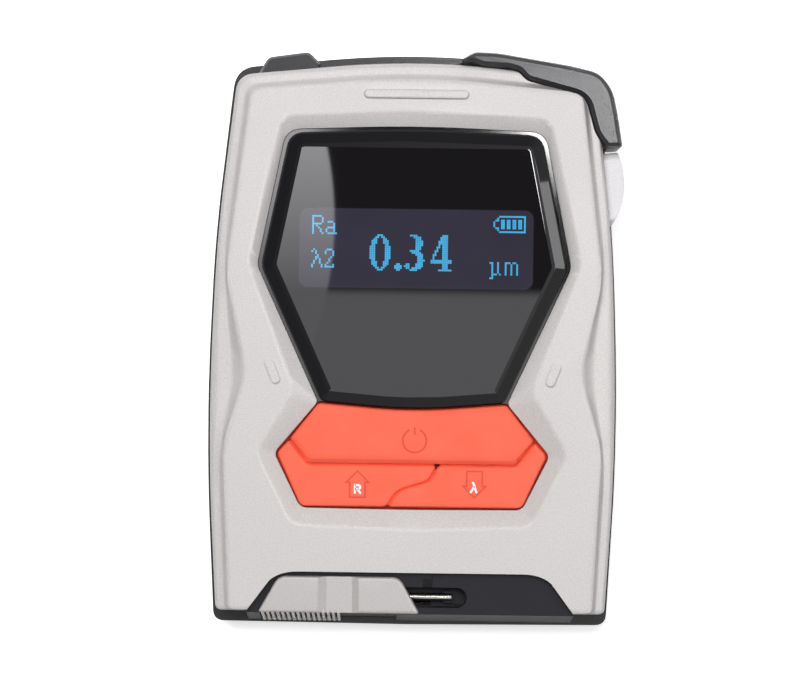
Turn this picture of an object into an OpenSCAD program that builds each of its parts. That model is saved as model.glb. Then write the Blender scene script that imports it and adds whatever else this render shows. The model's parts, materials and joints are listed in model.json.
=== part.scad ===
// Pocket surface roughness tester, lying on its back with the screen up.
// +Z points out of the front face, +Y to the top end, +X to the side with the start key.
// The origin is on the flat back face, on the centre line. All sizes are in millimetres.

/* [Body] */
// Width across the widest part of the front shell
body_w = 72.2; // [70:0.2:76]
// Length of the front shell
body_l = 98; // [96:0.5:104]
// Thickness from the back face to the raised front face
body_t = 24; // [23:0.5:27]
// Height of the seam between the two shells above the back face
seam_z = 10.5; // [10:0.25:11.5]
// Wall thickness of both shells
wall = 1.8; // [1.4:0.1:2]
// Drop from the raised front face to the rim round it
rim_drop = 2.2; // [1.4:0.1:2.8]
// How far the rear shell reaches past the front shell at the lower end
heel = 2.8; // [2.4:0.1:3.2]
// How far the rear shell reaches past the front shell at the top end
brow = 2.1; // [1.6:0.1:2.4]
// How far the rear shell stands out past the front shell at the sides
side_lip = 0.9; // [0.6:0.05:1.1]
// Width of the rounded edge round the back face
back_round = 1.6; // [1:0.1:2.2]

/* [Window and keys] */
// Drop of the sloping bezel from the front face to the window opening
bezel_drop = 1.6; // [1:0.1:2.2]
// Thickness of the front shell's lip round the opening
lip_t = 1.4; // [1.2:0.1:1.6]
// Thickness of the lens at its edge
lens_edge_t = 0.9; // [0.7:0.1:1.1]
// Rise of the lens from its edge to its flat middle
lens_rise = 0.7; // [0.4:0.1:0.9]
// Width of the bevel round the lens
lens_bevel = 2.3; // [1.5:0.1:3]
// How much narrower the display is than the lens
display_margin = 8; // [7:0.2:10]
// Height of the display seen through the lens
display_h = 14.6; // [13:0.2:15]
// Height of the power key's top above the bottom of the bezel
power_rise = 1.0; // [0.6:0.1:1.4]
// Height of the two lower keys' tops above the bottom of the bezel
lower_rise = 0.3; // [0.1:0.1:0.5]
// Travel of the three front keys
key_travel = 0.6; // [0.3:0.05:0.7]
// Gap between one key and the next
key_gap = 0.35; // [0.3:0.05:0.5]

/* [Start key] */
// Length of the start key along the side wall
start_l = 13; // [12:0.2:13.4]
// Height of the start key
start_h = 7; // [6:0.2:7.4]
// How far the middle of the start key stands out of the side wall
start_bulge = 3.4; // [2.4:0.1:3.8]
// Travel of the start key
start_travel = 0.8; // [0.4:0.1:1]

/* [Slider] */
// Travel of the slider that moves the shutter
slider_travel = 9.8; // [9.4:0.1:10.4]
// Height of the slider's pads above the floor of its bay
slider_t = 1.9; // [1.5:0.1:2.1]
// Depth of the thumb dip in the slider
dip_depth = 0.9; // [0.5:0.1:1.1]
// Number of grip ribs on the slider's end face
rib_count = 16; // [12:1:18]
// Distance from one grip rib to the next
rib_pitch = 0.9; // [0.8:0.05:0.95]
// Diameter of the steel bar that guides the slider
bar_d = 1.4; // [1:0.1:1.6]

/* [Pickup drive] */
// Traverse stroke of the pickup
stroke = 6; // [5:0.1:6]
// Diameter of the lead screw
screw_d = 3; // [2.4:0.1:3.2]
// Diameter of each guide rod
rod_d = 2.4; // [2:0.1:2.6]
// Diameter of the drive motor
motor_d = 6; // [5.4:0.1:6.2]
// Length of the drive motor
motor_l = 10; // [8:0.2:10.4]
// Number of teeth on the motor pinion
pinion_teeth = 12; // [10:1:12]
// Number of teeth on the gear of the lead screw
gear_teeth = 24; // [22:1:24]
// Tooth module of the pinion and the gear
tooth_module = 0.33; // [0.3:0.01:0.33]
// Diameter of the skid round the stylus
skid_d = 2.2; // [1.8:0.1:2.4]

/* [Inside] */
// Thickness of the main board
board_t = 1.2; // [1:0.1:1.6]
// Width of the battery
battery_w = 34; // [30:0.5:36]
// Length of the battery
battery_l = 50; // [44:0.5:52]
// Thickness of the battery
battery_t = 5.6; // [4.6:0.1:5.8]
// Diameter of the case screws' shanks
case_screw_d = 2; // [1.6:0.1:2.2]

/* [Hidden] */

// Overrun of every cut past the face that it starts from
over = 0.4;
// Gap between pieces that are assembled against each other
fit = 0.1;
// Radial gap of a shaft, rod or plunger in its bore
running = 0.05;
// Facets of round features
round_fn = 40;
// Steps in each rounded corner of an outline
steps = 7;
// Shortest rounding of a corner that was offset
tight = 0.12;
// Largest part of an edge that a rounding may take up
reach_share = 0.46;

half_w = body_w / 2;
half_l = body_l / 2;
face_z = body_t;
rim_z = face_z - rim_drop;
sill_z = face_z - bezel_drop;
lip_z = sill_z - lip_t;

// Corners of each outline as shares of the half width and the half length, each with the
// share of the half width over which the corner is rounded. They run from the top centre
// down the right side to the bottom centre.
body_shares = [
    [0, 1.013, 0.50], [0.884, 0.949, 0.080], [0.975, 0.367, 0.30], [1.001, -0.163, 0.25],
    [0.997, -0.531, 0.22], [0.961, -0.998, 0.030], [0, -1.004, 0.10]
];
plateau_shares = [
    [0, 0.946, 0.40], [0.814, 0.894, 0.050], [0.926, 0.214, 0.090], [0.822, -0.133, 0.100],
    [0.931, -0.392, 0.080], [0.892, -0.991, 0.030], [0, -0.997, 0.10]
];
bezel_shares = [
    [0, 0.824, 0.30], [0.659, 0.794, 0.060], [0.820, 0.271, 0.070], [0.579, -0.190, 0.060],
    [0.762, -0.420, 0.050], [0.588, -0.677, 0.050], [0, -0.696, 0.10]
];
opening_shares = [
    [0, 0.770, 0.28], [0.640, 0.752, 0.075], [0.776, 0.257, 0.040], [0.468, -0.237, 0.020],
    [0.680, -0.424, 0.030], [0.547, -0.622, 0.035], [0, -0.626, 0.10]
];
lens_shares = [
    [0, 0.756, 0.28], [0.620, 0.738, 0.070], [0.754, 0.254, 0.040], [0.450, -0.236, 0.030],
    [0, -0.264, 0.34]
];
// How the rim's section goes from the outline of the body to that of the raised face:
// the share of the way across, and the share of the step's height above the rim
rim_section_shares = [
    [0, -0.55], [0.05, -0.26], [0.14, -0.08], [0.28, 0], [0.60, 0.04], [0.74, 0.16],
    [0.86, 0.50], [0.93, 0.78], [1, 0.93]
];

// Outline of the keypad and of the split between its keys, as shares of the same halves
keypad_top_share = -0.241;
keypad_dip_share = -0.270;
key_corner_shares = [0.462, 0.601, 0.510];
keypad_side_share = 0.665;
keypad_foot_share = 0.545;
split_shares = [
    [0.125, -0.464, 0.02], [0.092, -0.520, 0.06], [-0.068, -0.556, 0.06], [-0.119, -0.616, 0.02]
];
power_tip_share = -0.371;
power_foot_share = -0.457;
pad_side_share = -0.424;
pad_foot_share = -0.616;

// Functions for outlines and skins

function unit(v) = v / norm(v);
function flat(c) = [c[0], c[1]];
function inward(v) = [v[1], -v[0]];
function at(list, i) = list[(i + len(list)) % len(list)];

// A whole outline from its right half
function mirrored(half) = concat(half, [
    for (i = [len(half) - 2 : -1 : 1]) [-half[i][0], half[i][1], half[i][2]]
]);

// Corners in millimetres from a table of shares
function sized(shares) = [for (s = shares) [s[0] * half_w, s[1] * half_l, s[2] * half_w]];

// The same outline moved inward by d, or outward if d is negative
function inset(c, d) = [
    for (i = [0 : len(c) - 1])
        let (
            u = unit(flat(c[i]) - flat(at(c, i - 1))),
            v = unit(flat(at(c, i + 1)) - flat(c[i])),
            m = (inward(u) + inward(v)) / (1 + u * v),
            turn = cross(u, v) < 0 ? 1 : -1,
            shift = norm(m - inward(u) * (m * inward(u))),
            p = flat(c[i]) + m * d
        )
        [p[0], p[1], max(tight, c[i][2] - turn * d * shift)]
];

// Part of the way from one outline to another with as many corners
function between(a, b, share) = a * (1 - share) + b * share;

// No corner lower than y
function kept_above(c, y) = [for (p = c) [p[0], max(p[1], y), p[2]]];

// The lowest corners of an outline moved up by d
function lifted(c, d) =
    let (foot = min([for (p = c) p[1]])) [for (p = c) [p[0], p[1] + (p[1] < foot + tight ? d : 0), p[2]]];

// The outline's points with every corner rounded
function soft(c) = [
    for (i = [0 : len(c) - 1])
        let (
            b = flat(c[i]),
            a = flat(at(c, i - 1)),
            e = flat(at(c, i + 1)),
            t = min(c[i][2], reach_share * norm(b - a), reach_share * norm(e - b)),
            u = unit(b - a) * t,
            v = unit(e - b) * t
        )
        for (k = [0 : steps])
            let (s = k / steps) (b - u) * (1 - s) * (1 - s) + b * 2 * s * (1 - s) + (b + v) * s * s
];

function ring(c, z) = [for (p = soft(c)) [p[0], p[1], z]];

// Triangles that close a ring, joining its two sides from the tip point on
function cap(n, first, tip, flip) = [
    for (i = [0 : n / 2 - 1])
        let (
            p = first + (tip + i) % n,
            p2 = first + (tip + i + 1) % n,
            q = first + (tip - i + n) % n,
            q2 = first + (tip - i - 1 + n) % n
        )
        each concat(
            p2 == q2 ? [] : [flip ? [p, q2, p2] : [p, p2, q2]],
            p == q ? [] : [flip ? [p, q, q2] : [p, q2, q]]
        )
];

// A skin over rings of equal length, closed by caps, or onto itself when looped
module skin(rings, looped = false) {
    n = len(rings[0]);
    last = len(rings) - 1;
    tip = floor(steps / 2);
    sides = [
        for (j = [0 : looped ? last : last - 1], i = [0 : n - 1])
            let (
                a = j * n + i,
                b = j * n + (i + 1) % n,
                c = ((j + 1) % (last + 1)) * n + (i + 1) % n,
                d = ((j + 1) % (last + 1)) * n + i
            )
            each [[a, b, c], [a, c, d]]
    ];
    ends = looped ? [] : concat(cap(n, 0, tip, true), cap(n, last * n, tip, false));
    polyhedron(points = [for (r = rings) each r], faces = concat(sides, ends));
}

// A plate of the outline c between two heights
module plate(c, z0, z1) {
    translate([0, 0, z0]) linear_extrude(z1 - z0) polygon(soft(c));
}

// A bar with rounded ends along X
module oblong(length, width, height) {
    linear_extrude(height) {
        square([length - width, width], center = true);
        for (side = [-1, 1]) translate([side * (length - width) / 2, 0])
            circle(d = width, $fn = round_fn);
    }
}

// A box from one corner to the other
module span(a, b) {
    translate(a) cube(b - a);
}

// A bar along X with the section given by points across and up
module bar_x(x0, x1, section) {
    translate([x0, 0, 0]) rotate([90, 0, 90]) linear_extrude(x1 - x0) polygon(section);
}

module rod_x(d, x0, x1) {
    translate([x0, 0, 0]) rotate([0, 90, 0]) cylinder(d = d, h = x1 - x0, $fn = round_fn);
}

body_line = mirrored(sized(body_shares));
plateau_line = mirrored(sized(plateau_shares));
bezel_line = mirrored(sized(bezel_shares));
opening_line = mirrored(sized(opening_shares));
lens_line = mirrored(sized(lens_shares));

// Front shell

// Softness of the plateau's edge and of the bezel's upper edge
edge_soft = 0.6;
// Reach of the front shell's bosses below its rim
boss_d = 5.2;
// Places of the case screws beside the window and beside the bay
case_shares = [[0.787, 0.784], [0.848, -0.747]];
case_places = [for (s = case_shares, side = [-1, 1]) [side * s[0] * half_w, s[1] * half_l]];
// Size and place of the raised bar above the window
bar_rib_l = 18.6;
bar_rib_w = 1.6;
bar_rib_rise = 0.8;
bar_rib_share = 0.882;
// The two small pips beside the waist
pip_l = 4.4;
pip_w = 1.5;
pip_rise = 0.7;
pip_share = [0.690, -0.127];
pip_turn = 68;

// Bay for the slider at the lower end
bay_side = 6.9;
bay_slant = 6;
bay_foot_w = body_w - 2 * bay_side;
bay_top_w = bay_foot_w - 2 * bay_slant;
bay_h = 8.1;
bay_round = 3.2;
bay_line = [
    [0, -half_l + bay_h, bay_round], [bay_top_w / 2, -half_l + bay_h, bay_round],
    [bay_foot_w / 2, -half_l, tight], [bay_foot_w / 2, -half_l - bay_h, tight],
    [-bay_foot_w / 2, -half_l - bay_h, tight], [-bay_foot_w / 2, -half_l, tight],
    [-bay_top_w / 2, -half_l + bay_h, bay_round]
];
bay_depth = 1.7;
bay_floor = face_z - bay_depth;

// Frame of the start key, square to the sloping side wall
start_share = 0.549;
start_y = start_share * half_l;
start_z = 15.6;
start_slope = atan((body_shares[2][0] - body_shares[1][0]) * half_w
    / ((body_shares[1][1] - body_shares[2][1]) * half_l));
start_x = (body_shares[1][0] + (body_shares[2][0] - body_shares[1][0])
    * (start_share - body_shares[1][1]) / (body_shares[2][1] - body_shares[1][1])) * half_w;
start_gap = 0.3;

module at_start() {
    translate([start_x, start_y, start_z]) rotate([0, 0, start_slope]) children();
}

// Guard that wraps over the top right corner, its outer side and then its inner side
guard_shares = [
    [0.222, 1.016, 0.008], [0.285, 1.043, 0.022], [0.393, 1.041, 0.055], [0.753, 0.998, 0.055],
    [0.903, 0.973, 0.050], [0.970, 0.910, 0.044], [0.997, 0.816, 0.055], [1.022, 0.702, 0.017],
    [0.939, 0.698, 0.014], [0.886, 0.751, 0.028], [0.842, 0.865, 0.028], [0.803, 0.890, 0.028],
    [0.543, 0.941, 0.022], [0.504, 0.973, 0.022], [0.454, 0.984, 0.022], [0.332, 0.988, 0.008]
];
guard_line = sized(guard_shares);
guard_rise = 0.9;
guard_top = rim_z + guard_rise;
guard_soft = 0.9;
guard_root = 3;

// Bump at the top left
left_bump_shares = [
    [-0.787, 0.963, 0.011], [-0.737, 1.022, 0.022], [-0.537, 1.043, 0.022], [-0.476, 1.000, 0.011],
    [-0.482, 0.971, 0.006], [-0.784, 0.943, 0.006]
];
left_bump_line = sized(left_bump_shares);
left_bump_top = 17;

module front_shell() {
    color("#d8d6d5") difference() {
        union() {
            skin(concat(
                [ring(body_line, seam_z)],
                [for (s = rim_section_shares)
                    ring(between(body_line, plateau_line, s[0]), rim_z + s[1] * rim_drop)],
                [
                    ring(inset(plateau_line, edge_soft), face_z),
                    ring(inset(bezel_line, -edge_soft), face_z),
                    ring(inset(bezel_line, edge_soft / 2), face_z - edge_soft / 3),
                    ring(opening_line, sill_z),
                    ring(opening_line, lip_z),
                    ring(inset(bezel_line, -edge_soft), face_z - wall * 1.3),
                    ring(inset(plateau_line, wall), face_z - wall),
                    ring(inset(body_line, wall * 1.4), rim_z - wall),
                    ring(inset(body_line, wall), rim_z - wall * 1.6),
                    ring(inset(body_line, wall), seam_z)
                ]
            ), looped = true);
            for (p = case_places) translate([p[0], p[1], seam_z])
                cylinder(d = boss_d, h = rim_z - wall - seam_z + over, $fn = round_fn);
            translate([0, bar_rib_share * half_l, face_z - over])
                oblong(bar_rib_l, bar_rib_w, over + bar_rib_rise);
            for (side = [-1, 1])
                translate([side * pip_share[0] * half_w, pip_share[1] * half_l, face_z - over])
                rotate([0, 0, side * pip_turn]) oblong(pip_l, pip_w, over + pip_rise);
        }
        plate(bay_line, seam_z - over, face_z + over);
        plate(inset(guard_line, -fit), seam_z - over, face_z + over);
        plate(inset(left_bump_line, -fit), seam_z - over, left_bump_top + fit);
        for (p = case_places) translate([p[0], p[1], seam_z - over])
            cylinder(d = case_screw_d, h = case_thread_l + over, $fn = round_fn);
        at_start() span(
            [-wall * 2, -start_l / 2 - start_gap, -start_h / 2 - start_gap],
            [wall * 2, start_l / 2 + start_gap, start_h / 2 + start_gap]
        );
        // Room for the start key's flange behind the wall
        at_start() span(
            [start_flange_x - start_travel - start_gap, -start_l / 2 - start_flange_side - start_gap,
                -start_h / 2 - start_flange_side - start_gap],
            [start_flange_x + start_flange_t + fit, start_l / 2 + start_flange_side + start_gap,
                start_h / 2 + start_flange_side + start_gap]
        );
    }
}

// Rear shell

// The rear shell follows the front shell, with a brow at the top and a heel at the foot
rear_line = [
    for (c = inset(body_line, -side_lip))
        [c[0], c[1] + (c[1] > half_l / 2 ? brow - side_lip : c[1] < -half_l * 3 / 4 ? side_lip - heel : 0), c[2]]
];
floor_z = 2;
floor_round = 0.8;
foot_gap = 0.3;

// Screws that hold the shells together
case_head_d = 3.8;
case_head_t = 1.5;
case_head_sink = 0.5;
case_seat_z = case_head_sink + case_head_t;
case_thread_l = 7;

// The charging socket in the top end
usb_w = 7.7;
usb_h = 3.9;
usb_l = 9;
usb_x = -6;
usb_gap = 0.25;
board_drop = 0.3;
board_z = seam_z - board_t - board_drop;
board_top = board_z + board_t;

// The shutter and the stylus window in the back
window_play = 0.8;
window_l = stroke + skid_d + window_play;
window_w = 6;
slot_in = 2.8;
slot_y = -half_l + slot_in;
slot_w = 3.6;
leg_t = 0.85;
leg_y = slot_y - slot_w / 2 + 2.5 * fit;
tab_y = leg_y + leg_t;
shutter_t = 0.45;
shutter_l = 21.6;
shutter_w = 13;
shutter_front = 1.5;
shutter_z = 0.35;
shutter_gap = 0.3;
shutter_x = -window_l / 2 - shutter_gap - shutter_l;
shutter_y = tab_y - shutter_front;
shutter_play = 0.1;
shutter_lip = 0.8;
pickup_y = shutter_y + shutter_w * 3 / 5;
tab_w = 5.6;
tab_in = 7.2;
tab_x = shutter_x + shutter_l - tab_in;
tab_h = 5;

// Places that the pickup drive shares with the pieces round it
drive_back = 9.4;
screw_z = 12.2;
// Height of a gear tooth above and below the pitch circle, in modules
tooth_tip = 0.85;
tooth_root = 1.25;
gear_tip_r = tooth_module * (gear_teeth / 2 + tooth_tip);

board_boss_d = 4.6;
board_screw_d = 1.6;
board_hole_l = 5;
board_side = 11.1;
board_w = body_w - 2 * board_side;
board_top_gap = 4.5;
board_foot_gap = 2.2;
board_y0 = pickup_y + drive_back + board_foot_gap;
board_y1 = half_l - board_top_gap;
board_hole_in = 3.4;
board_places = [
    for (side = [-1, 1], y = [board_y1 - board_hole_in, board_y0 + board_hole_in])
        [side * (board_w / 2 - board_hole_in), y]
];
battery_share = 0.163;
battery_y = battery_share * half_l;
cradle_t = 1.2;
cradle_h = 3.4;

module rear_shell() {
    inner = kept_above(inset(rear_line, wall), -half_l + foot_gap);
    color("#3a393d") difference() {
        union() {
            skin([
                ring(inset(rear_line, back_round), 0),
                ring(inset(rear_line, back_round * 0.35), back_round * 0.3),
                ring(rear_line, back_round),
                ring(rear_line, seam_z),
                ring(inner, seam_z),
                ring(inner, floor_z + floor_round),
                ring(inset(inner, floor_round), floor_z)
            ]);
            skin([
                ring(guard_line, seam_z - guard_root),
                ring(guard_line, guard_top - guard_soft * 2),
                ring(inset(guard_line, guard_soft * 0.3), guard_top - guard_soft * 0.8),
                ring(inset(guard_line, guard_soft), guard_top)
            ]);
            skin([
                ring(left_bump_line, back_round * 2),
                ring(left_bump_line, left_bump_top - guard_soft),
                ring(inset(left_bump_line, guard_soft / 2), left_bump_top)
            ]);
            for (p = case_places) translate([p[0], p[1], floor_z - over])
                cylinder(d = boss_d, h = seam_z - floor_z + over, $fn = round_fn);
            for (p = board_places) translate([p[0], p[1], floor_z - over])
                cylinder(d = board_boss_d, h = board_z - floor_z + over, $fn = round_fn);
            for (side = [-1, 1])
                translate([side * (battery_w + cradle_t + 2 * fit) / 2 - cradle_t / 2,
                    battery_y - battery_l / 3, floor_z - over])
                cube([cradle_t, battery_l * 2 / 3, cradle_h + over]);
        }
        for (p = case_places) translate([p[0], p[1], -over]) {
            cylinder(d = case_head_d + 4 * fit, h = case_seat_z + over, $fn = round_fn);
            cylinder(d = case_screw_d + 4 * fit, h = seam_z + 2 * over, $fn = round_fn);
        }
        for (p = board_places) translate([p[0], p[1], board_z - board_hole_l])
            cylinder(d = board_screw_d, h = board_hole_l + over, $fn = round_fn);
        span([usb_x - usb_w / 2 - usb_gap, half_l - wall * 2, board_z - usb_h - usb_gap],
            [usb_x + usb_w / 2 + usb_gap, half_l + wall + brow, board_z + usb_gap]);
        span([-window_l / 2, pickup_y - window_w / 2, -over],
            [window_l / 2, pickup_y + window_w / 2, floor_z + over]);
        // Grooves that carry the shutter, its way across the window, and the slot for its tab
        span([shutter_x - shutter_gap, shutter_y - shutter_play, shutter_z - shutter_play],
            [shutter_x + shutter_l + slider_travel + shutter_gap,
                shutter_y + shutter_w + shutter_play, shutter_z + shutter_t + shutter_play]);
        span([shutter_x - shutter_gap, shutter_y + shutter_lip, -over],
            [shutter_x + shutter_l + slider_travel + shutter_gap,
                shutter_y + shutter_w - shutter_lip, shutter_z + shutter_t + shutter_play]);
        span([tab_x - shutter_gap, tab_y - shutter_play, shutter_z],
            [tab_x + tab_w + slider_travel + shutter_gap,
                tab_y + shutter_t + shutter_play, floor_z + over]);
    }
}

// Bezel frame, lens and display

frame_drop = 0.2;
frame_top = sill_z - frame_drop;
lens_seat = frame_top - lens_edge_t;
deck_t = 1.4;
deck_drop = 1.2;
deck_top = lip_z - deck_drop;
frame_bottom = deck_top - deck_t;
frame_flange = 1.2;
well_margin = 0.85;
display_share = [0.069, 0.3214];
display_x = display_share[0] * half_w;
display_y = display_share[1] * half_l;
display_w = 2 * lens_shares[2][0] * half_w - display_margin;
module_side = 1.2;
module_end = 3;
module_w = display_w + 2 * module_side;
module_h = display_h + 2 * module_end;
module_t = 3.2;
gasket_t = 0.5;
gasket_sink = 1.7;
gasket_top = frame_bottom + gasket_sink;
module_top = gasket_top - gasket_t;
module_bottom = module_top - module_t;
standoff_d = 3;
standoff_x = module_w / 2 - standoff_d;
standoff_y = module_h / 2 - standoff_d;
key_round = 0.6;

keypad_line = mirrored([
    [0, keypad_dip_share * half_l, key_corner_shares[0] * half_w * 0.7],
    [key_corner_shares[0] * half_w, keypad_top_share * half_l, key_round],
    [keypad_side_share * half_w, pad_side_share * half_l, key_round * 1.5],
    [keypad_foot_share * half_w, pad_foot_share * half_l, key_round * 1.5],
    [0, pad_foot_share * half_l, key_round * 5]
]);
well_line = [
    for (i = [0 : len(keypad_line) - 1])
        inset(keypad_line, abs(keypad_line[i][1]) < abs(pad_side_share) * half_l * 0.8
            ? -key_gap : -well_margin)[i]
];

module centred_box(w, l, z0, z1) {
    translate([-w / 2, -l / 2, z0]) cube([w, l, z1 - z0]);
}

// Places of the keys' stems and of their guide pins
stem_d = 3.4;
stem_play = 0.15;
pin_d = 2;
power_stem_share = [0, -0.365];
power_pin_share = [0.360, -0.3755];
lower_stem_share = [0.349, -0.539];
lower_pin_share = [0.532, -0.514];
function placed(share, side) = [side * share[0] * half_w, share[1] * half_l];
power_stem = placed(power_stem_share, 1);
power_pins = [placed(power_pin_share, -1), placed(power_pin_share, 1)];
up_stem = placed(lower_stem_share, -1);
up_pins = [placed(lower_pin_share, -1)];
down_stem = placed(lower_stem_share, 1);
down_pins = [placed(lower_pin_share, 1)];
switch_places = [power_stem, up_stem, down_stem];

module bezel_frame() {
    color("#1c1c1f") difference() {
        union() {
            plate(inset(opening_line, -frame_flange), frame_bottom, lip_z);
            plate(inset(opening_line, fit), frame_bottom, frame_top);
        }
        plate(inset(lens_line, -fit), lens_seat, frame_top + over);
        plate(well_line, deck_top, frame_top + over);
        translate([display_x, display_y]) {
            centred_box(display_w, display_h, frame_bottom, lens_seat + over);
            centred_box(module_w + 2 * fit, module_h + 2 * fit, frame_bottom - over, gasket_top);
        }
        for (p = switch_places) translate([p[0], p[1], frame_bottom - over])
            cylinder(d = stem_d + 2 * stem_play, h = deck_t + 2 * over, $fn = round_fn);
        for (p = concat(power_pins, up_pins, down_pins)) translate([p[0], p[1], frame_bottom - over])
            cylinder(d = pin_d + 2 * stem_play, h = deck_t + 2 * over, $fn = round_fn);
    }
}

module lens() {
    color("#101013") skin([
        ring(lens_line, lens_seat),
        ring(lens_line, frame_top),
        ring(inset(lens_line, lens_bevel * 0.12), frame_top + lens_rise * 0.3),
        ring(inset(lens_line, lens_bevel * 0.85), frame_top + lens_rise * 0.94),
        ring(inset(lens_line, lens_bevel * 1.1), frame_top + lens_rise)
    ]);
}

module display_gasket() {
    color("#26262a") translate([display_x, display_y]) difference() {
        centred_box(module_w, module_h, module_top, gasket_top);
        centred_box(display_w, display_h, module_top - over, gasket_top + over);
    }
}

module display_module() {
    glass_t = module_t / 2;
    color("#16202a") translate([display_x, display_y]) {
        centred_box(module_w, module_h, module_bottom, module_top - glass_t);
        centred_box(module_w - module_side, module_h - module_end, module_top - glass_t, module_top);
        for (sx = [-1, 1], sy = [-1, 1])
            translate([sx * standoff_x, sy * standoff_y, board_top])
                cylinder(d = standoff_d, h = module_bottom - board_top, $fn = round_fn);
    }
}

// A flat ribbon that leaves the display, bends back and lands on the board
cable_w = 12;
cable_t = 0.3;
cable_tongue = 4;
cable_in = 5.4;
cable_y = display_y - cable_in;

module display_cable() {
    bend_r = (module_bottom - board_top) / 2;
    color("#b5743a") translate([display_x - cable_w / 2, cable_y, board_top + bend_r])
        rotate([90, 0, 90]) linear_extrude(cable_w) difference() {
            union() {
                circle(r = bend_r, $fn = round_fn);
                translate([0, -bend_r]) square([cable_tongue, 2 * bend_r]);
            }
            circle(r = bend_r - cable_t, $fn = round_fn);
            translate([0, -bend_r + cable_t])
                square([cable_tongue + over, 2 * (bend_r - cable_t)]);
        }
}

// Front keys

key_clear = 0.3;
key_bottom = deck_top + key_travel + key_clear;
key_bevel = 0.9;
key_bevel_h = 0.5;
switch_w = 6;
switch_h = 4.2;
switch_top = board_top + switch_h;
plunger_d = 2.4;
plunger_rest = 0.4;
plunger_out = key_travel + plunger_rest;
plunger_in = 1;
power_top = sill_z + power_rise;
lower_top = sill_z + lower_rise;
power_corner = key_corner_shares[1] * half_w;
foot_corner = key_corner_shares[2] * half_w;
tip_y = power_tip_share * half_l;
power_foot_y = power_foot_share * half_l;

power_line = [
    [-power_corner, tip_y, key_round], [-keypad_line[1][0], keypad_line[1][1], key_round],
    keypad_line[0], keypad_line[1], [power_corner, tip_y, key_round],
    [foot_corner, power_foot_y, key_round], [0, power_foot_y, key_round * 5],
    [-foot_corner, power_foot_y, key_round]
];

function split_point(i, side) = [
    split_shares[i][0] * half_w + side * key_gap / 2,
    i == 0 ? power_foot_y - key_gap : split_shares[i][1] * half_l,
    split_shares[i][2] * half_w
];

up_line = [
    [-power_corner - key_gap * 0.6, tip_y - key_gap, key_round * 0.7],
    [-foot_corner - key_gap * 0.3, power_foot_y - key_gap, key_round],
    split_point(0, -1), split_point(1, -1), split_point(2, -1), split_point(3, -1),
    [-keypad_foot_share * half_w * 0.6, pad_foot_share * half_l, key_round * 1.5],
    [-keypad_foot_share * half_w, pad_foot_share * half_l, key_round * 1.5],
    [-(keypad_foot_share + keypad_side_share) / 2 * half_w,
        (pad_foot_share + pad_side_share) / 2 * half_l, key_round * 1.5],
    [-keypad_side_share * half_w, pad_side_share * half_l, key_round * 1.5]
];
down_line = [
    [power_corner + key_gap * 0.6, tip_y - key_gap, key_round * 0.7],
    [keypad_side_share * half_w, pad_side_share * half_l, key_round * 1.5],
    [(keypad_foot_share + keypad_side_share) / 2 * half_w,
        (pad_foot_share + pad_side_share) / 2 * half_l, key_round * 1.5],
    [keypad_foot_share * half_w, pad_foot_share * half_l, key_round * 1.5],
    [keypad_foot_share * half_w * 0.6, pad_foot_share * half_l, key_round * 1.5],
    split_point(3, 1), split_point(2, 1), split_point(1, 1), split_point(0, 1),
    [foot_corner + key_gap * 0.3, power_foot_y - key_gap, key_round]
];

// The face that steps down from the power key to the lower keys
step_l = 1.6;
step_h = 0.8;

// A key cap of outline c, with its stem on the switch and its guide pins, and with a bevel
// of height bevel_h that is wider by foot_l at the lower edge
module front_key(c, top, stem, pins, bevel_h = key_bevel_h, foot_l = 0) {
    color("#f4624e") union() {
        skin([
            ring(c, key_bottom),
            ring(c, top - bevel_h),
            ring(lifted(inset(c, key_bevel * 0.25), foot_l * 0.6), top - bevel_h * 0.35),
            ring(lifted(inset(c, key_bevel), foot_l), top)
        ]);
        translate([stem[0], stem[1], switch_top + plunger_out])
            cylinder(d = stem_d, h = key_bottom + over - switch_top - plunger_out, $fn = round_fn);
        for (p = pins) translate([p[0], p[1], frame_bottom])
            cylinder(d = pin_d, h = key_bottom + over - frame_bottom, $fn = round_fn);
    }
}

module power_key() { front_key(power_line, power_top, power_stem, power_pins, step_h, step_l - key_bevel); }
module up_key() { front_key(up_line, lower_top, up_stem, up_pins); }
module down_key() { front_key(down_line, lower_top, down_stem, down_pins); }

// The part of a push switch that travels with its key
module plunger(length) {
    color("#e8e4da") cylinder(d = plunger_d, h = length, $fn = round_fn);
}

module key_plunger(p) {
    translate([p[0], p[1], switch_top - plunger_in]) plunger(plunger_in + plunger_out);
}

module power_plunger() { key_plunger(power_stem); }
module up_plunger() { key_plunger(up_stem); }
module down_plunger() { key_plunger(down_stem); }

module key_switches() {
    color("#2e2e33") for (p = switch_places) translate([p[0], p[1], 0]) difference() {
        centred_box(switch_w, switch_w, board_top, switch_top);
        translate([0, 0, switch_top - plunger_in - key_travel - key_clear])
            cylinder(d = plunger_d + 2 * running, h = plunger_in + key_travel + key_clear + over,
                $fn = round_fn);
    }
}

// Start key on the side

start_flange_t = 1;
start_flange_side = 0.8;
start_flange_x = -wall - start_gap - start_flange_t;
start_low = 0.3;
start_peak_y = 2.2;
start_corner_r = 1.4;
start_plunger_out = start_travel + plunger_rest;
start_switch_x = start_flange_x - start_plunger_out;
start_switch_t = 2;

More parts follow.
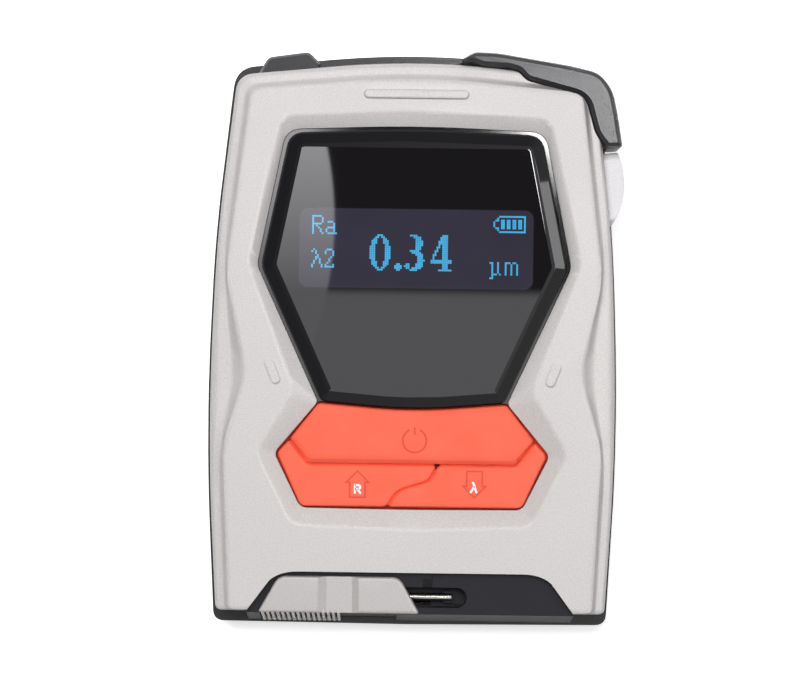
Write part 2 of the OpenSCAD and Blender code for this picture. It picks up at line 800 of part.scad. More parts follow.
module start_key() {
    reach = start_l / 2 + start_peak_y;
    drop = start_bulge - start_low;
    crown_r = (reach * reach + drop * drop) / (2 * drop);
    color("#e2e1df") at_start() union() {
        intersection() {
            translate([start_flange_x, 0, 0]) rotate([0, 90, 0])
                linear_extrude(start_bulge - start_flange_x) union() {
                    for (sx = [-1, 1], sy = [-1, 1])
                        translate([sx * (start_h / 2 - start_corner_r), sy * (start_l / 2 - start_corner_r)])
                            circle(r = start_corner_r, $fn = round_fn);
                    square([start_h, start_l - 2 * start_corner_r], center = true);
                    square([start_h - 2 * start_corner_r, start_l], center = true);
                }
            translate([start_bulge - crown_r, start_peak_y, -start_h])
                cylinder(r = crown_r, h = 2 * start_h, $fn = round_fn * 3);
        }
        span([start_flange_x, -start_l / 2 - start_flange_side, -start_h / 2 - start_flange_side],
            [start_flange_x + start_flange_t, start_l / 2 + start_flange_side,
                start_h / 2 + start_flange_side]);
    }
}

module start_plunger() {
    at_start() translate([start_switch_x - plunger_in, 0, 0]) rotate([0, 90, 0])
        plunger(plunger_in + start_plunger_out);
}

module start_switch() {
    color("#2e2e33") at_start() difference() {
        span([start_switch_x - start_switch_t, -switch_w / 2, board_top - start_z],
            [start_switch_x, switch_w / 2, switch_w / 2]);
        translate([start_switch_x - plunger_in - start_travel - fit, 0, 0]) rotate([0, 90, 0])
            cylinder(d = plunger_d + 2 * running, h = plunger_in + start_travel + fit + over,
                $fn = round_fn);
    }
}

// Board, battery and what they carry

board_tab_l = 9.6;
board_tab_x = start_x + start_switch_x + 2 * start_gap;
board_tab_y = start_y - board_tab_l / 2;
board_head_d = 3;
board_head_t = 1.2;
board_thread = 4.6;

module main_board() {
    color("#2f6b45") difference() {
        union() {
            span([-board_w / 2, board_y0, board_z], [board_w / 2, board_y1, board_top]);
            span([board_w / 2 - over, board_tab_y, board_z],
                [board_tab_x, board_tab_y + board_tab_l, board_top]);
        }
        for (p = board_places) translate([p[0], p[1], board_z - over])
            cylinder(d = board_screw_d + 4 * fit, h = board_t + 2 * over, $fn = round_fn);
        // The board stays clear of the case screws' bosses
        for (p = case_places) translate([p[0], p[1], board_z - over])
            cylinder(d = boss_d + 8 * fit, h = board_t + 2 * over, $fn = round_fn);
    }
}

// Width, length and height of each soldered piece, and its place on the board
chip_sizes = [
    [10, 10, 1.2], [6, 5, 1.2], [5, 4, 1.1], [7, 5, 1.6], [8, 5, 3.6], [3.2, 2.5, 0.8], [4, 3, 1.4]
];
chip_shares = [
    [-0.48, 0.061], [0.48, -0.082], [-0.12, -0.163], [-0.64, -0.286], [-0.56, 0.776],
    [0.08, 0.776], [0.76, -0.286]
];

module board_chips() {
    color("#222226") for (i = [0 : len(chip_sizes) - 1])
        translate([chip_shares[i][0] * board_w / 2, chip_shares[i][1] * half_l])
            centred_box(chip_sizes[i][0], chip_sizes[i][1], board_top, board_top + chip_sizes[i][2]);
}

buzzer_d = 9;
buzzer_t = 4;
buzzer_share = [0.52, 0.755];

module buzzer() {
    color("#1d1d20") translate([buzzer_share[0] * board_w / 2, buzzer_share[1] * half_l, board_top])
    difference() {
        cylinder(d = buzzer_d, h = buzzer_t, $fn = round_fn);
        translate([0, 0, buzzer_t / 2]) cylinder(d = buzzer_d / 5, h = buzzer_t, $fn = round_fn);
    }
}

usb_end = half_l + brow - wall - usb_gap;
usb_shell = 0.4;

module usb_socket() {
    color("#c8ccd2") difference() {
        translate([usb_x, usb_end - usb_l / 2]) centred_box(usb_w, usb_l, board_z - usb_h, board_z);
        translate([usb_x, usb_end]) centred_box(usb_w - 2 * usb_shell, usb_l * 1.4,
            board_z - usb_h + usb_shell, board_z - usb_shell);
    }
    color("#1c1c1f") translate([usb_x, usb_end - usb_l * 0.6])
        centred_box(usb_w * 0.6, usb_l * 0.8, board_z - usb_h * 0.55, board_z - usb_shell);
}

module battery() {
    color("#9aa3ad") translate([0, battery_y]) centred_box(battery_w, battery_l, floor_z, floor_z + battery_t);
}

// Slider, shutter and the bay they work in

slot_l = 27.1;
slot_back = 5;
slot_x0 = tab_x - slot_back;
slot_x1 = slot_x0 + slot_l;
slot_depth = 3.6;
slot_floor = bay_floor - slot_depth;
bar_depth = 1.9;
bar_z = bay_floor - bar_depth;
bar_stop = 2.7;
bar_end = slot_x1 - bar_stop;
bar_seat = 1.5;
saddle_l = 1.4;
bay_skirt = screw_z + gear_tip_r + shutter_gap;
bay_end_t = 1.4;
ceiling_t = 1.2;
// The end face leans out from the bay's floor down to the seam
end_out = 0.2;
end_lean = 2.2;
end_in = leg_y - 2 * fit;
function end_y(z) = -half_l - end_out - end_lean * (bay_floor - z) / (bay_floor - seam_z);
function lean(d, z0, z1) = [[end_y(z0) + d, z0], [end_y(z1) + d, z1]];
block_line = inset([
    [0, -half_l + bay_h, bay_round], [bay_top_w / 2, -half_l + bay_h, bay_round],
    [bay_foot_w / 2, -half_l, tight], [0, -half_l, tight],
    [-bay_foot_w / 2, -half_l, tight], [-bay_top_w / 2, -half_l + bay_h, bay_round]
], fit);

module bay_block() {
    color("#2b2b2f") difference() {
        union() {
            difference() {
                plate(block_line, bay_skirt, bay_floor);
                plate(inset(block_line, bay_end_t), bay_skirt - over, slot_floor - ceiling_t);
            }
            intersection() {
                plate(inset(bay_line, fit), seam_z, bay_floor);
                bar_x(-bay_foot_w / 2, bay_foot_w / 2,
                    concat(lean(0, seam_z, bay_floor), [[end_in, bay_floor], [end_in, seam_z]]));
            }
        }
        difference() {
            translate([(slot_x0 + slot_x1) / 2, slot_y, slot_floor])
                oblong(slot_l, slot_w, slot_depth + over);
            span([bar_end - saddle_l, slot_y - bar_d * 0.7, slot_floor - over],
                [bar_end, slot_y + bar_d * 0.7, bar_z]);
        }
        translate([0, slot_y, bar_z]) rod_x(bar_d, slot_x0 - bar_seat, bar_end + over);
        span([tab_x - shutter_gap, leg_y - 1.5 * fit, seam_z - over],
            [tab_x + tab_w + slider_travel + shutter_gap, leg_y + leg_t + 1.5 * fit, slot_floor + over]);
        // The way of the grip ribs along the end face
        bar_x(comb_x - shutter_gap, comb_x + comb_l + slider_travel + shutter_gap, concat(
            lean(rib_sink + comb_gap, seam_z - over, bay_floor + over),
            [[-half_l - bay_h, bay_floor + over], [-half_l - bay_h, seam_z - over]]));
    }
}

module guide_bar() {
    color("#cfd2d6") translate([0, slot_y, bar_z]) rod_x(bar_d, slot_x0 - bar_seat, bar_end);
}

slider_z = bay_floor + running;
slider_top = bay_floor + slider_t;
slider_soft = 0.6;
slider_l = 28.7;
slider_w = 6.4;
slider_side = 2.2;
slider_slant = 3.6;
slider_x = -bay_foot_w / 2 + slider_side;
slider_line = [
    [slider_x + slider_slant, -half_l + slider_w, slider_soft * 2.5],
    [slider_x + slider_l - slider_slant, -half_l + slider_w, slider_soft * 2.5],
    [slider_x + slider_l, -half_l, slider_soft], [slider_x, -half_l, slider_soft]
];
// Section of the thumb dip along the slider, as shares of its length
dip_shares = [0.369, 0.422, 0.582, 0.624];
// The grip ribs run down the end face and stand on a bar at their foot
comb_x = slider_x + 0.4 * bar_d;
rib_w = rib_pitch * 0.55;
comb_l = (rib_count - 1) * rib_pitch + rib_w;
comb_foot = seam_z + shutter_gap;
comb_top = slider_top - slider_soft;
comb_bar = 1.2;
comb_gap = 0.15;
rib_proud = 0.15;
rib_sink = 0.5;
leg_gap = 1;
leg_foot = floor_z + leg_gap;

module slider_cover() {
    color("#dcdad8") difference() {
        union() {
            difference() {
                skin([
                    ring(slider_line, slider_z),
                    ring(slider_line, slider_top - slider_soft),
                    ring(inset(slider_line, slider_soft * 0.3), slider_top - slider_soft * 0.25),
                    ring(inset(slider_line, slider_soft), slider_top)
                ]);
                translate([0, -half_l + bay_h, slider_top]) rotate([90, 0, 0]) linear_extrude(bay_h * 1.2)
                    polygon([
                        for (p = [[0, over], [0, 0], [1, -dip_depth], [2, -dip_depth], [3, 0], [3, over]])
                            [slider_x + dip_shares[p[0]] * slider_l, p[1]]
                    ]);
            }
            for (i = [0 : rib_count - 1])
                bar_x(comb_x + i * rib_pitch, comb_x + i * rib_pitch + rib_w,
                    concat(lean(-rib_proud, comb_foot, comb_top), lean(rib_sink, comb_top, comb_foot)));
            bar_x(comb_x, comb_x + comb_l,
                concat(lean(0, comb_foot, comb_foot + comb_bar), lean(rib_sink, comb_foot + comb_bar, comb_foot)));
            span([tab_x, leg_y, slot_floor + fit], [tab_x + tab_w, slot_y + slot_w / 2 - 3 * fit, slider_z + over]);
            span([tab_x, leg_y, leg_foot], [tab_x + tab_w, leg_y + leg_t, slot_floor + over]);
        }
        translate([0, slot_y, bar_z]) rod_x(bar_d + 2 * running, tab_x - over, tab_x + tab_w + over);
    }
}

module shutter() {
    color("#b9bcc1") union() {
        span([shutter_x, shutter_y, shutter_z],
            [shutter_x + shutter_l, shutter_y + shutter_w, shutter_z + shutter_t]);
        span([tab_x, tab_y, shutter_z], [tab_x + tab_w, tab_y + shutter_t, shutter_z + tab_h]);
    }
}

// Pickup drive

drive_t = 1.6;
drive_front = 5.4;
drive_y0 = pickup_y - drive_front;
drive_y1 = pickup_y + drive_back;
web_t = 1.4;
drive_h = 13;
drive_gap = 3;
carriage_x = -13;
carriage_l = 12;
housing_x = -15;
drive_x0 = housing_x - drive_gap - drive_t;
drive_x1 = carriage_x + carriage_l + stroke + motor_l + drive_gap;
screw_end = 0.5;
rod_z = 8.2;
rod_spread = 4.3;
press = 0.02;
mesh_gap = 0.06;
motor_angle = 48;
gear_distance = tooth_module * (pinion_teeth + gear_teeth) / 2 + mesh_gap;
motor_y = pickup_y + gear_distance * cos(motor_angle);
motor_z = screw_z + gear_distance * sin(motor_angle);
motor_shaft_d = 1;
collar_wall = 0.7;
collar_d = screw_d + 2 * collar_wall;
collar_t = 0.8;
gear_gap = 0.5;
gear_x = drive_x1 + drive_t + gear_gap;
gear_t = 2;

module drive_frame() {
    color("#8f959c") difference() {
        union() {
            span([drive_x0, drive_y0, floor_z], [drive_x0 + drive_t, drive_y1, floor_z + drive_h]);
            span([drive_x1, drive_y0, floor_z], [drive_x1 + drive_t, drive_y1, floor_z + drive_h]);
            span([drive_x1, pickup_y, floor_z],
                [drive_x1 + drive_t, motor_y + motor_d / 2 + fit, motor_z + motor_d / 2 + fit]);
            span([drive_x0, drive_y1 - web_t, floor_z], [drive_x1 + drive_t, drive_y1, floor_z + drive_h]);
        }
        translate([0, pickup_y, screw_z])
            rod_x(screw_d + 2 * running, drive_x0 - over, drive_x1 + drive_t + over);
        for (side = [-1, 1]) translate([0, pickup_y + side * rod_spread, rod_z])
            rod_x(rod_d + 2 * press, drive_x0 - over, drive_x1 + drive_t + over);
        translate([0, motor_y, motor_z])
            rod_x(motor_shaft_d + 4 * running, drive_x1 - over, drive_x1 + drive_t + over);
    }
}

module guide_rods() {
    color("#c6c9cd") for (side = [-1, 1]) translate([0, pickup_y + side * rod_spread, rod_z])
        rod_x(rod_d, drive_x0, drive_x1 + drive_t);
}

module lead_screw() {
    color("#c2b27a") translate([0, pickup_y, screw_z]) {
        rod_x(screw_d, drive_x0 - screw_end, gear_x + gear_t + screw_end);
        rod_x(collar_d, drive_x0 + drive_t + fit, drive_x0 + drive_t + fit + collar_t);
        rod_x(collar_d, drive_x1 - fit - collar_t, drive_x1 - fit);
    }
}

// Width of a tooth at its foot and at its tip, as shares of the pitch
tooth_shares = [0.40, 0.15];

// A spur gear along X with straight flanks
module spur(teeth, bore, turn) {
    pitch_r = tooth_module * teeth / 2;
    root = pitch_r - tooth_module * tooth_root;
    tip = pitch_r + tooth_module * tooth_tip;
    half = [for (s = tooth_shares) 360 * s / (2 * teeth)];
    rotate([0, 90, 0]) linear_extrude(gear_t) rotate(turn) difference() {
        polygon([
            for (k = [0 : teeth - 1]) let (a = 360 * k / teeth)
                each [
                    root * [cos(a - half[0]), sin(a - half[0])], tip * [cos(a - half[1]), sin(a - half[1])],
                    tip * [cos(a + half[1]), sin(a + half[1])], root * [cos(a + half[0]), sin(a + half[0])]
                ]
        ]);
        if (bore > 0) circle(d = bore, $fn = round_fn);
    }
}

// The line of centres, in the plane of the gears
mesh_turn = 180 - motor_angle;

module screw_gear() {
    color("#d9d4c4") translate([gear_x, pickup_y, screw_z])
        rotate([motor_angle, 0, 0]) spur(gear_teeth, screw_d + 2 * press, 90);
}

module motor_pinion() {
    color("#c9a24a") translate([0, motor_y, motor_z]) union() {
        translate([gear_x, 0, 0]) rotate([motor_angle, 0, 0]) spur(pinion_teeth, 0, 90 + 180 / pinion_teeth);
        rod_x(motor_shaft_d, drive_x1 - motor_l * 0.4, gear_x + gear_t + fit);
    }
}

module drive_motor() {
    color("#aeb3b9") translate([0, motor_y, motor_z]) difference() {
        rod_x(motor_d, drive_x1 - motor_l, drive_x1);
        rod_x(motor_shaft_d + 2 * running, drive_x1 - motor_l * 0.5, drive_x1 + over);
    }
}

// Carriage and pickup

carriage_z = 5.8;
carriage_h = 8.8;
carriage_w = 11.2;
housing_l = 13.6;
housing_w = 5;
housing_z = 2.5;
channel_w = 2.4;
channel_floor = 0.5;
channel_stop = 0.8;
channel_z = housing_z + channel_floor;
channel_h = 1.9;
tip_x = -stroke / 2;
arm_l = 8;
arm_x = tip_x - arm_l;
arm_z = channel_z + channel_h / 2;
arm_t = 1.3;
arm_w = 1;
arm_tail = 1.6;
arm_nose = 0.6;
arm_pin_d = 0.8;
skid_gap = 0.25;
skid_foot = shutter_z + shutter_t + skid_gap;
skid_bore = 1.1;
skid_round = 0.7;
stylus_d = 0.5;
stylus_proud = 0.1;
stylus_point = skid_foot - stylus_proud;
stylus_cone = 0.55;

module carriage() {
    color("#d2cfc4") difference() {
        translate([carriage_x, pickup_y - carriage_w / 2, carriage_z]) cube([carriage_l, carriage_w, carriage_h]);
        translate([0, pickup_y, screw_z])
            rod_x(screw_d + 2 * running, carriage_x - over, carriage_x + carriage_l + over);
        for (side = [-1, 1]) translate([0, pickup_y + side * rod_spread, rod_z])
            rod_x(rod_d + 2 * running, carriage_x - over, carriage_x + carriage_l + over);
    }
}

module pickup_housing() {
    color("#3c4046") difference() {
        translate([housing_x, pickup_y - housing_w / 2, housing_z])
            cube([housing_l, housing_w, carriage_z - housing_z]);
        translate([housing_x - over, pickup_y - channel_w / 2, channel_z])
            cube([housing_l - channel_stop + over, channel_w, channel_h]);
        translate([tip_x, pickup_y, housing_z - over])
            cylinder(d = skid_bore, h = channel_z - housing_z + 2 * over, $fn = round_fn);
        translate([arm_x, pickup_y - housing_w, arm_z]) rotate([-90, 0, 0])
            cylinder(d = arm_pin_d + 2 * press, h = 2 * housing_w, $fn = round_fn);
    }
}

module skid() {
    color("#8c2f3a") translate([tip_x, pickup_y, 0]) rotate_extrude($fn = round_fn) difference() {
        union() {
            translate([0, skid_foot + skid_round]) square([skid_d / 2, housing_z - skid_foot - skid_round]);
            translate([0, skid_foot]) square([skid_d / 2 - skid_round * 0.6, skid_round + fit]);
            translate([skid_d / 2 - skid_round * 0.6, skid_foot + skid_round * 0.6])
                circle(r = skid_round * 0.6, $fn = round_fn);
            translate([0, skid_foot + skid_round * 0.6])
                square([skid_d / 2, skid_round]);
        }
        translate([-skid_d, 0]) square([skid_d + skid_bore / 2, housing_z * 2]);
    }
}

module stylus_arm() {
    color("#c9ccd0") difference() {
        translate([arm_x - arm_tail, pickup_y - arm_w / 2, arm_z - arm_t / 2])
            cube([tip_x + arm_nose - arm_x + arm_tail, arm_w, arm_t]);
        translate([arm_x, pickup_y - arm_w, arm_z]) rotate([-90, 0, 0])
            cylinder(d = arm_pin_d + 2 * running, h = 2 * arm_w, $fn = round_fn);
    }
}

module arm_pin() {
    color("#b4b7bb") translate([arm_x, pickup_y - housing_w / 2, arm_z]) rotate([-90, 0, 0])
        cylinder(d = arm_pin_d, h = housing_w, $fn = round_fn);
}

module stylus_tip() {
    foot = arm_z - arm_t / 2;
    color("#e9edf2") translate([tip_x, pickup_y, 0]) rotate_extrude($fn = round_fn) polygon([
        [0, stylus_point], [stylus_d / 2, stylus_point + stylus_cone], [stylus_d / 2, foot], [0, foot]
    ]);
}

// Screws

// A pan-head screw with a cross recess, head down, its seat at height zero
module machine_screw(d, head_d, head_t, length) {
    cross_w = head_d * 0.16;
    cross_l = head_d * 0.6;
    difference() {
        union() {
            translate([0, 0, -head_t / 4]) cylinder(d = d, h = length + head_t / 4, $fn = round_fn);
            translate([0, 0, -head_t]) cylinder(d = head_d, h = head_t, $fn = round_fn);
        }
        for (turn = [0, 90]) rotate(turn) translate([-cross_l / 2, -cross_w / 2, -head_t - over])
            cube([cross_l, cross_w, head_t * 0.5 + over]);
    }
}

module case_screws() {
    color("#4a4b50") for (p = case_places) translate([p[0], p[1], case_seat_z])
        machine_screw(case_screw_d - 2 * press, case_head_d, case_head_t,
            seam_z + case_thread_l - case_seat_z - over);
}

module board_screws() {
    color("#a8abb0") for (p = board_places) translate([p[0], p[1], board_top]) rotate([180, 0, 0])
        machine_screw(board_screw_d - 2 * press, board_head_d, board_head_t, board_t + board_thread);
}

front_shell();
rear_shell();
bezel_frame();
lens();
display_gasket();
display_module();
display_cable();
power_key();
up_key();
down_key();
power_plunger();
up_plunger();
down_plunger();
key_switches();
start_key();
start_plunger();
start_switch();
main_board();
board_chips();
buzzer();
usb_socket();
battery();
bay_block();
slider_cover();
guide_bar();
shutter();
drive_frame();
guide_rods();
lead_screw();
screw_gear();
drive_motor();
motor_pinion();
carriage();
pickup_housing();
skid();
stylus_arm();
stylus_tip();
arm_pin();
case_screws();
board_screws();
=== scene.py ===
"""Looks of a pocket surface roughness tester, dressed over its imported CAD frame.

Every length is in metres in the CAD's own frame: +Z out of the screen, +Y to the guarded end.
"""

import json
import math

import bmesh
import bpy
from mathutils import Matrix, Vector
from mathutils.geometry import convex_hull_2d, tessellate_polygon
from mathutils.kdtree import KDTree


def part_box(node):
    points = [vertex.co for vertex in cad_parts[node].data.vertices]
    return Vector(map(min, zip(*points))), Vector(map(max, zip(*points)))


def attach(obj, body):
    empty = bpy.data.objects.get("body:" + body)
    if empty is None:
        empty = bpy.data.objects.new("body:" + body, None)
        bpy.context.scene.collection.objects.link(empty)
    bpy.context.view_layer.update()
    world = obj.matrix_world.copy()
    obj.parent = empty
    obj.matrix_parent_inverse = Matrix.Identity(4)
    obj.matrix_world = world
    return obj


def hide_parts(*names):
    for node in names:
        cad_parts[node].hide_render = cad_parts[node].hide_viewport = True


MM = 0.001

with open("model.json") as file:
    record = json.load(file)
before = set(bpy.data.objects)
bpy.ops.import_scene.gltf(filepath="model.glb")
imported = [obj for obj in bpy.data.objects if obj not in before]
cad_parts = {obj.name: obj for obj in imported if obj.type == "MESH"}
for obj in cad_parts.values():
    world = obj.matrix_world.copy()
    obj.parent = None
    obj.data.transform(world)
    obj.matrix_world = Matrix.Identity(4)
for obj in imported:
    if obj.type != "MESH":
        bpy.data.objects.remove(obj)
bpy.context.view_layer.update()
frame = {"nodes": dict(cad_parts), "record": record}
scene = bpy.context.scene
scene.view_settings.view_transform = "Standard"


# camera

# The photograph looks straight down on the screen
SHOT_DISTANCE = 600 * MM
SHOT_TARGET = Vector((-2.37, -0.62, 22.0)) * MM
SHOT_ROLL = math.radians(0.75)
SHOT_WIDTH = 142.4 * MM
SENSOR_WIDTH = 36.0


def photograph_camera():
    """A long lens straight over the tester, rolled by SHOT_ROLL."""
    data = bpy.data.cameras.new("photograph_camera")
    data.sensor_width = SENSOR_WIDTH
    data.lens = SENSOR_WIDTH * SHOT_DISTANCE / SHOT_WIDTH
    data.clip_start, data.clip_end = 0.01, 20
    camera = bpy.data.objects.new("photograph_camera", data)
    scene.collection.objects.link(camera)
    above = SHOT_TARGET + Vector((0, 0, SHOT_DISTANCE))
    camera.matrix_world = Matrix.Translation(above) @ Matrix.Rotation(SHOT_ROLL, 4, "Z")
    scene.camera = camera


photograph_camera()


# small helpers


def linear(hex_colour):
    """An sRGB colour in hex as the linear RGBA that a shader socket takes."""
    parts = [int(hex_colour[i : i + 2], 16) / 255 for i in (0, 2, 4)]
    low = [c / 12.92 if c <= 0.04045 else ((c + 0.055) / 1.055) ** 2.4 for c in parts]
    return (*low, 1.0)


def add(tree, kind, inputs=None, **settings):
    """Adds a shader node: settings are its options, inputs its sockets' values or feeds."""
    made = tree.nodes.new("ShaderNode" + kind)
    for name, value in settings.items():
        setattr(made, name, value)
    for name, value in (inputs or {}).items():
        if isinstance(value, bpy.types.NodeSocket):
            tree.links.new(value, made.inputs[name])
        else:
            made.inputs[name].default_value = value
    return made


def start_material(name):
    """An empty material: its node tree and the object coordinates that its pattern runs in."""
    made = bpy.data.materials.new(name)
    made.use_nodes = True
    made.node_tree.nodes.clear()
    return made, made.node_tree, add(made.node_tree, "TexCoord").outputs["Object"]


def close_material(made, tree, surface):
    """Feeds the surface into the material's output."""
    add(tree, "OutputMaterial", {"Surface": surface.outputs[0]})
    return made


# materials


def sprayed_silver(name, dark, light, rough):
    """Silver paint sprayed on moulded ABS: pale flakes under a satin binder.

    The eye sees a warm light grey with a fine glitter, and a faint orange peel on broad faces.
    Real flakes are about 0.03 mm; they are drawn 0.22 mm across so that the picture holds them.
    """
    made, tree, place = start_material(name)
    flakes = add(
        tree, "TexNoise", {"Vector": place, "Scale": 1 / (0.22 * MM), "Detail": 1.0}
    )
    cloud = add(
        tree, "TexNoise", {"Vector": place, "Scale": 1 / (14 * MM), "Detail": 2.0}
    )
    tone = add(
        tree,
        "MapRange",
        {"Value": flakes.outputs[0], "From Min": 0.3, "From Max": 0.7},
    )
    shade = add(
        tree,
        "Mix",
        {0: tone.outputs[0], 6: linear(dark), 7: linear(light)},
        data_type="RGBA",
    )
    peel = add(
        tree, "TexNoise", {"Vector": place, "Scale": 1 / (0.9 * MM), "Detail": 3.0}
    )
    grain = add(
        tree,
        "Math",
        {0: flakes.outputs[0], 1: 0.35, 2: peel.outputs[0]},
        operation="MULTIPLY_ADD",
    )
    relief = add(
        tree,
        "Bump",
        {"Height": grain.outputs[0], "Strength": 0.35, "Distance": 0.02 * MM},
    )
    sheen = add(
        tree,
        "MapRange",
        {"Value": cloud.outputs[0], "To Min": rough - 0.05, "To Max": rough + 0.05},
    )
    surface = add(
        tree,
        "BsdfPrincipled",
        {
            "Base Color": shade.outputs[2],
            "Metallic": 0.12,
            "Roughness": sheen.outputs[0],
            "Normal": relief.outputs[0],
        },
    )
    return close_material(made, tree, surface)


def spark_grained(name, dark, light, rough, grain_mm=0.28, depth_mm=0.03, metal=0.0, gloss=0.5):
    """A moulded plastic, cast or rolled surface with a fine even grain.

    The eye sees a matt skin whose tone wanders slightly and whose grain breaks up reflections.
    """
    made, tree, place = start_material(name)
    grain = add(
        tree,
        "TexNoise",
        {"Vector": place, "Scale": 1 / (grain_mm * MM), "Detail": 2.0},
    )
    cloud = add(
        tree, "TexNoise", {"Vector": place, "Scale": 1 / (9 * MM), "Detail": 3.0}
    )
    shade = add(
        tree,
        "Mix",
        {0: cloud.outputs[0], 6: linear(dark), 7: linear(light)},
        data_type="RGBA",
    )
    relief = add(
        tree,
        "Bump",
        {"Height": grain.outputs[0], "Strength": 0.5, "Distance": depth_mm * MM},
    )
    sheen = add(
        tree,
        "MapRange",
        {"Value": grain.outputs[0], "To Min": rough - 0.08, "To Max": rough + 0.08},
    )
    surface = add(
        tree,
        "BsdfPrincipled",
        {
            "Base Color": shade.outputs[2],
            "Metallic": metal,
            "Roughness": sheen.outputs[0],
            "Specular IOR Level": gloss,
            "Normal": relief.outputs[0],
        },
    )
    return close_material(made, tree, surface)


def smoked_acrylic():
    """Hard-coated acrylic, black behind, with a clear smoked pane over the display.

    The eye sees a deep black mirror, and inside it a softly lighter blue-grey pane.
    """
    made, tree, place = start_material("smoked_acrylic_lens")
    centre = Vector((0.3, 15.8, 0)) * MM
    half = Vector((20.8, 7.05, 1000)) * MM
    corner, blur = 1.6 * MM, 0.12 * MM
    away = add(tree, "VectorMath", {0: place, 1: centre}, operation="SUBTRACT")
    folded = add(tree, "VectorMath", {0: away.outputs[0]}, operation="ABSOLUTE")
    reach = add(
        tree,
        "VectorMath",
        {0: folded.outputs[0], 1: half - Vector((corner, corner, 0))},
        operation="SUBTRACT",
    )
    outside = add(
        tree, "VectorMath", {0: reach.outputs[0], 1: (0, 0, 0)}, operation="MAXIMUM"
    )
    distance = add(tree, "VectorMath", {0: outside.outputs[0]}, operation="LENGTH")
    pane = add(
        tree,
        "MapRange",
        {
            "Value": distance.outputs["Value"],
            "From Min": corner - blur,
            "From Max": corner + blur,
            "To Min": 1.0,
            "To Max": 0.0,
        },
    )
    cloud = add(
        tree, "TexNoise", {"Vector": place, "Scale": 1 / (12 * MM), "Detail": 2.0}
    )
    glow = add(
        tree,
        "Mix",
        {0: cloud.outputs[0], 6: linear("2C2B38"), 7: linear("373443")},
        data_type="RGBA",
    )
    shade = add(
        tree,
        "Mix",
        {0: pane.outputs[0], 6: linear("0F0D11"), 7: glow.outputs[2]},
        data_type="RGBA",
    )
    surface = add(
        tree,
        "BsdfPrincipled",
        {"Base Color": shade.outputs[2], "Roughness": 0.015, "IOR": 1.49},
    )
    return close_material(made, tree, surface)


def polished_black():
    """Polished black polycarbonate round the lens: it mirrors the same room, a little softer."""
    made, tree, place = start_material("polished_polycarbonate_frame")
    cloud = add(
        tree, "TexNoise", {"Vector": place, "Scale": 1 / (6 * MM), "Detail": 2.0}
    )
    sheen = add(
        tree, "MapRange", {"Value": cloud.outputs[0], "To Min": 0.04, "To Max": 0.1}
    )
    surface = add(
        tree,
        "BsdfPrincipled",
        {
            "Base Color": linear("0D0D0F"),
            "Roughness": sheen.outputs[0],
            "IOR": 1.58,
        },
    )
    return close_material(made, tree, surface)


def moulded_silicone():
    """Coral red silicone rubber of the front keys: satin, slightly translucent, fine grained."""
    made, tree, place = start_material("moulded_silicone_keys")
    cloud = add(
        tree, "TexNoise", {"Vector": place, "Scale": 1 / (5 * MM), "Detail": 3.0}
    )
    shade = add(
        tree,
        "Mix",
        {0: cloud.outputs[0], 6: linear("FF6247"), 7: linear("FF6F55")},
        data_type="RGBA",
    )
    grain = add(
        tree, "TexNoise", {"Vector": place, "Scale": 1 / (0.25 * MM), "Detail": 2.0}
    )
    relief = add(
        tree,
        "Bump",
        {"Height": grain.outputs[0], "Strength": 0.25, "Distance": 0.02 * MM},
    )
    surface = add(
        tree,
        "BsdfPrincipled",
        {
            "Base Color": shade.outputs[2],
            "Roughness": 0.5,
            "IOR": 1.41,
            "Subsurface Weight": 0.1,
            "Subsurface Radius": (1.0, 0.35, 0.2),
            "Subsurface Scale": 0.6 * MM,
            "Normal": relief.outputs[0],
        },
    )
    return close_material(made, tree, surface)


# How many times longer than wide the marks of a ground or drawn metal are
MARK_STRETCH = 40


def turned_metal(name, dark, light, rough, groove_mm, along):
    """A ground, turned or drawn metal: fine parallel marks that stretch each highlight."""
    made, tree, place = start_material(name)
    squash = [1 / (groove_mm * MM)] * 3
    squash[along] /= MARK_STRETCH
    marks = add(tree, "Mapping", {"Vector": place, "Scale": squash})
    lines = add(tree, "TexNoise", {"Vector": marks.outputs[0], "Scale": 1.0, "Detail": 2.0})
    shade = add(
        tree,
        "Mix",
        {0: lines.outputs[0], 6: linear(dark), 7: linear(light)},
        data_type="RGBA",
    )
    sheen = add(
        tree,
        "MapRange",
        {"Value": lines.outputs[0], "To Min": rough - 0.08, "To Max": rough + 0.1},
    )
    surface = add(
        tree,
        "BsdfPrincipled",
        {"Base Color": shade.outputs[2], "Metallic": 1.0, "Roughness": sheen.outputs[0]},
    )
    return close_material(made, tree, surface)


def lit_blue():
    """Lit points of the display behind the lens: sky blue, with the lens's own gloss over them."""
    made, tree, place = start_material("lit_display_points")
    cloud = add(
        tree, "TexNoise", {"Vector": place, "Scale": 1 / (2.2 * MM), "Detail": 1.0}
    )
    shade = add(
        tree,
        "Mix",
        {0: cloud.outputs[0], 6: linear("3FA9DC"), 7: linear("55C6FF")},
        data_type="RGBA",
    )
    surface = add(
        tree,
        "BsdfPrincipled",
        {
            "Base Color": linear("0F1418"),
            "Roughness": 0.04,
            "IOR": 1.49,
            "Emission Color": shade.outputs[2],
            "Emission Strength": 0.9,
        },
    )
    return close_material(made, tree, surface)


def matt_with_painted_shade(name, colour):
    """The floor of a groove moulded in a part, or a web low between parts: matt, and darker than
    the skin round it; the darker colour is painted shade.
    """
    return spark_grained(name, colour, colour, 0.8, 0.2, 0.01)


